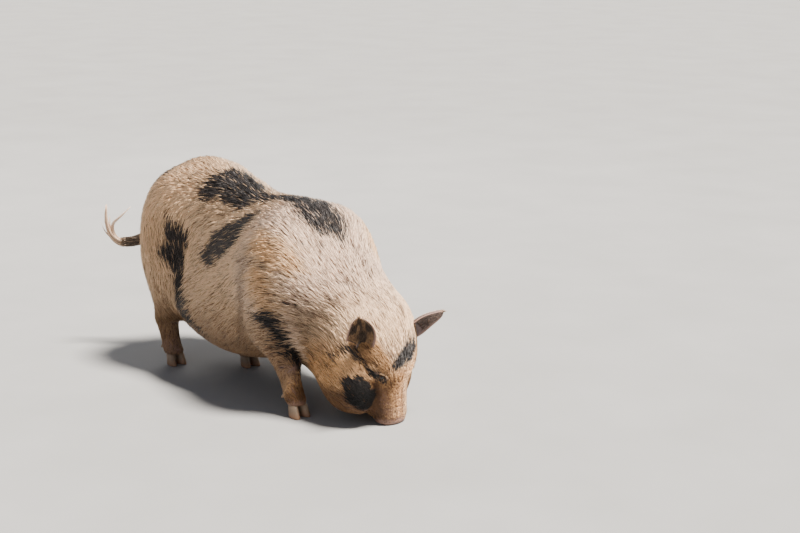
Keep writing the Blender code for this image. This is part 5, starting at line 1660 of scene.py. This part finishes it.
def make_floor():
    """A pale floor that curves up behind as a backdrop."""
    u = np.linspace(0.0, 1.0, FLOOR_ROWS)
    first, last = FLOOR_BEND
    bend = np.clip((u - first) / (last - first), 0.0, 1.0) * math.pi / 2.0
    along = FLOOR_START + FLOOR_RUN * np.clip(u / first, 0.0, 1.0) + FLOOR_RADIUS * np.sin(bend)
    height = FLOOR_RADIUS * (1.0 - np.cos(bend))
    height = height + FLOOR_RISE * np.clip((u - last) / (1.0 - last), 0.0, 1.0)
    across = np.linspace(-FLOOR_HALF_WIDTH, FLOOR_HALF_WIDTH, FLOOR_COLUMNS)
    away = np.array((CAMERA_FORWARD[0], CAMERA_FORWARD[1], 0.0))
    away = away / np.linalg.norm(away)
    right = np.array((-away[1], away[0], 0.0))
    grid = (along[:, None, None] * away + across[None, :, None] * right
            + height[:, None, None] * np.array((0.0, 0.0, 1.0)))
    i, j = np.meshgrid(np.arange(FLOOR_ROWS - 1), np.arange(FLOOR_COLUMNS - 1), indexing="ij")
    a = (i * FLOOR_COLUMNS + j).ravel()
    b = a + FLOOR_COLUMNS
    faces = np.concatenate([np.stack([a, b, b + 1], 1), np.stack([a, b + 1, a + 1], 1)])
    mesh = bpy.data.meshes.new("studio_floor")
    mesh.from_pydata(grid.reshape(-1, 3).tolist(), [], faces[:, ::-1].tolist())
    mesh.shade_smooth()
    mesh.materials.append(bpy.data.materials["studio_floor"])
    floor = add_object("studio_floor", mesh)


def make_lights():
    """Two soft lamps, the sun, and a faint sky."""
    for name, place, size, power, tint in LIGHTS:
        lamp = bpy.data.lights.new(name, "AREA")
        lamp.shape = "DISK"
        lamp.size = size
        lamp.energy = power
        lamp.color = tint
        obj = add_object(name, lamp)
        obj.location = place
        turn = (Vector(LIGHT_AIM) - Vector(place)).to_track_quat("-Z", "Y")
        obj.rotation_euler = turn.to_euler()
    lamp = bpy.data.lights.new("key_light", "SUN")
    lamp.energy = SUN_POWER
    lamp.angle = SUN_SPREAD
    lamp.color = SUN_TINT
    obj = add_object("key_light", lamp)
    obj.location = SUN_PLACE
    obj.rotation_euler = (-Vector(SUN_PLACE)).to_track_quat("-Z", "Y").to_euler()
    world = bpy.data.worlds.new("studio_air")
    world.use_nodes = True
    sky = world.node_tree.nodes["Background"]
    sky.inputs[0].default_value = AIR_TINT
    sky.inputs[1].default_value = AIR_STRENGTH
    bpy.context.scene.world = world


def make_camera():
    """The camera, at the place and with the view that the photograph was taken from."""
    lens = bpy.data.cameras.new("photo_camera")
    lens.sensor_width = SENSOR_WIDTH
    lens.lens = CAMERA_FOCAL_PIXELS / IMAGE_WIDTH * SENSOR_WIDTH
    camera = add_object("photo_camera", lens)
    forward = unit(np.array(CAMERA_FORWARD))
    up = np.array(CAMERA_UP)
    up = unit(up - forward * (up @ forward))
    matrix = np.eye(4)
    matrix[:3, :3] = np.stack([np.cross(forward, up), up, -forward], 1)
    matrix[:3, 3] = SCALE * np.array(CAMERA_PLACE) + SHIFT
    camera.matrix_world = Matrix(matrix.tolist())
    bpy.context.scene.camera = camera


def make_stage():
    make_floor()
    make_lights()
    make_camera()


class PigSizes(bpy.types.PropertyGroup):
    """Sizes of the coat."""
    hair_length: bpy.props.FloatProperty(
        name="Hair length", description="Length of the hair on the body", default=0.036,
        min=0.005, max=0.08, unit="LENGTH")
    hair_width: bpy.props.FloatProperty(
        name="Tuft width", description="Width of one tuft on the body", default=0.0024,
        min=0.0005, max=0.01, unit="LENGTH")
    hair_spacing: bpy.props.FloatProperty(
        name="Tuft spacing", description="Distance between roots on the body", default=0.00313,
        min=0.0015, max=0.02, unit="LENGTH")


def colour(name, description, default):
    return bpy.props.FloatVectorProperty(name=name, description=description, default=default,
                                         subtype="COLOR", size=3, min=0.0, max=1.0)


class PigColours(bpy.types.PropertyGroup):
    """Colours of the coat, the skin, the horn, the eyes and the floor."""
    pale_root: colour("Pale hair, shaded", "Pale hair in the darker streaks", (0.150, 0.082, 0.042))
    pale_tip: colour("Pale hair, light", "Pale hair in the lighter streaks", (1.0, 0.71, 0.46))
    warm_root: colour("Tawny hair, shaded", "Brown hair in the darker streaks", (0.110, 0.046, 0.016))
    warm_tip: colour("Tawny hair, light", "Brown hair in the lighter streaks", (0.98, 0.575, 0.27))
    cool_root: colour("Cool hair, shaded", "Grey pink hair in the darker streaks",
                      (0.180, 0.118, 0.110))
    cool_tip: colour("Cool hair, light", "Grey pink hair in the lighter streaks", (1.0, 0.79, 0.68))
    skin_cool: colour("Skin, cool", "Grey pink skin of the neck and the ears", (0.33, 0.24, 0.25))
    dark: colour("Dark hair", "Hair and skin of the dark markings", (0.007, 0.006, 0.006))
    # The lighter colour of the black hair: a painted sheen along its streaks
    dark_hair_sheen: colour("Dark hair, light", "Dark hair in the lighter streaks",
                       (0.042, 0.034, 0.032))
    # Skin: its pinkish brown and its greyer blotches, set darker so the gaps in the coat read as
    # shade, partly its own colour and partly painted shade
    skin: colour("Skin", "Skin between the hairs", (0.36, 0.23, 0.18))
    skin_shade: colour("Skin, blotched", "Greyer blotches of the skin", (0.20, 0.14, 0.12))
    snout: colour("Snout", "Bare skin of the snout and the rims", (0.30, 0.17, 0.13))
    snout_light: colour("Snout, light", "Paler speckles of the bare skin", (0.36, 0.215, 0.165))
    horn: colour("Horn", "Lighter streaks of the hooves", (0.42, 0.30, 0.20))
    horn_shade: colour("Horn, shaded", "Darker streaks of the hooves", (0.15, 0.10, 0.07))
    soil: colour("Dried soil", "Soil on the lower edge of the hooves", (0.36, 0.18, 0.09))
    iris: colour("Iris", "The brown of the eyes", (0.060, 0.028, 0.012))
    floor: colour("Floor", "Lighter clouds of the floor", (0.32, 0.316, 0.311))
    floor_shade: colour("Floor, shaded", "Darker clouds of the floor", (0.29, 0.287, 0.283))


class PIG_OT_looks(bpy.types.Operator):
    """Make the materials that the pieces share."""
    bl_idname = "pig.looks"
    bl_label = "Materials"

    def execute(self, context):
        make_looks()
        return {"FINISHED"}


class PIG_OT_skin(bpy.types.Operator):
    """Build the skin of the body, head and legs as one surface."""
    bl_idname = "pig.skin"
    bl_label = "Skin"

    def execute(self, context):
        make_skin()
        return {"FINISHED"}


class PIG_OT_coat(bpy.types.Operator):
    """Build the coat's tufts over the skin."""
    bl_idname = "pig.coat"
    bl_label = "Coat"

    def execute(self, context):
        make_coat()
        return {"FINISHED"}


class PIG_OT_ears(bpy.types.Operator):
    """Build both ears and their hair."""
    bl_idname = "pig.ears"
    bl_label = "Ears"

    def execute(self, context):
        make_ears()
        return {"FINISHED"}


class PIG_OT_eyes(bpy.types.Operator):
    """Build the eyeballs and lashes."""
    bl_idname = "pig.eyes"
    bl_label = "Eyes"

    def execute(self, context):
        make_eyes()
        return {"FINISHED"}


class PIG_OT_tail(bpy.types.Operator):
    """Build the tail's dock and its switch of hair."""
    bl_idname = "pig.tail"
    bl_label = "Tail"

    def execute(self, context):
        make_tail()
        return {"FINISHED"}


class PIG_OT_feet(bpy.types.Operator):
    """Build the hooves and dewclaws."""
    bl_idname = "pig.feet"
    bl_label = "Feet"

    def execute(self, context):
        make_feet()
        return {"FINISHED"}


class PIG_OT_stage(bpy.types.Operator):
    """Set up the floor, the lights and the camera."""
    bl_idname = "pig.stage"
    bl_label = "Stage"

    def execute(self, context):
        make_stage()
        return {"FINISHED"}


STEPS = (PIG_OT_looks, PIG_OT_skin, PIG_OT_coat, PIG_OT_ears, PIG_OT_eyes, PIG_OT_tail,
         PIG_OT_feet, PIG_OT_stage)


class PIG_PT_panel(bpy.types.Panel):
    """The pig's pieces, sizes and colours."""
    bl_label = "Pig"
    bl_idname = "PIG_PT_panel"
    bl_space_type = "VIEW_3D"
    bl_region_type = "UI"
    bl_category = "Pig"

    def draw(self, context):
        for step in STEPS:
            self.layout.operator(step.bl_idname)
        for group in (context.scene.pig_sizes, context.scene.pig_colours):
            for key in group.__annotations__:
                self.layout.prop(group, key)


CLASSES = (PigSizes, PigColours, *STEPS, PIG_PT_panel)


def register():
    for item in CLASSES:
        bpy.utils.register_class(item)
    bpy.types.Scene.pig_sizes = bpy.props.PointerProperty(type=PigSizes)
    bpy.types.Scene.pig_colours = bpy.props.PointerProperty(type=PigColours)


def unregister():
    del bpy.types.Scene.pig_colours
    del bpy.types.Scene.pig_sizes
    for item in reversed(CLASSES):
        bpy.utils.unregister_class(item)


def main():
    register()
    bpy.ops.pig.looks()
    bpy.ops.pig.skin()
    bpy.ops.pig.coat()
    bpy.ops.pig.ears()
    bpy.ops.pig.eyes()
    bpy.ops.pig.tail()
    bpy.ops.pig.feet()
    bpy.ops.pig.stage()


if __name__ == "__main__":
    main()
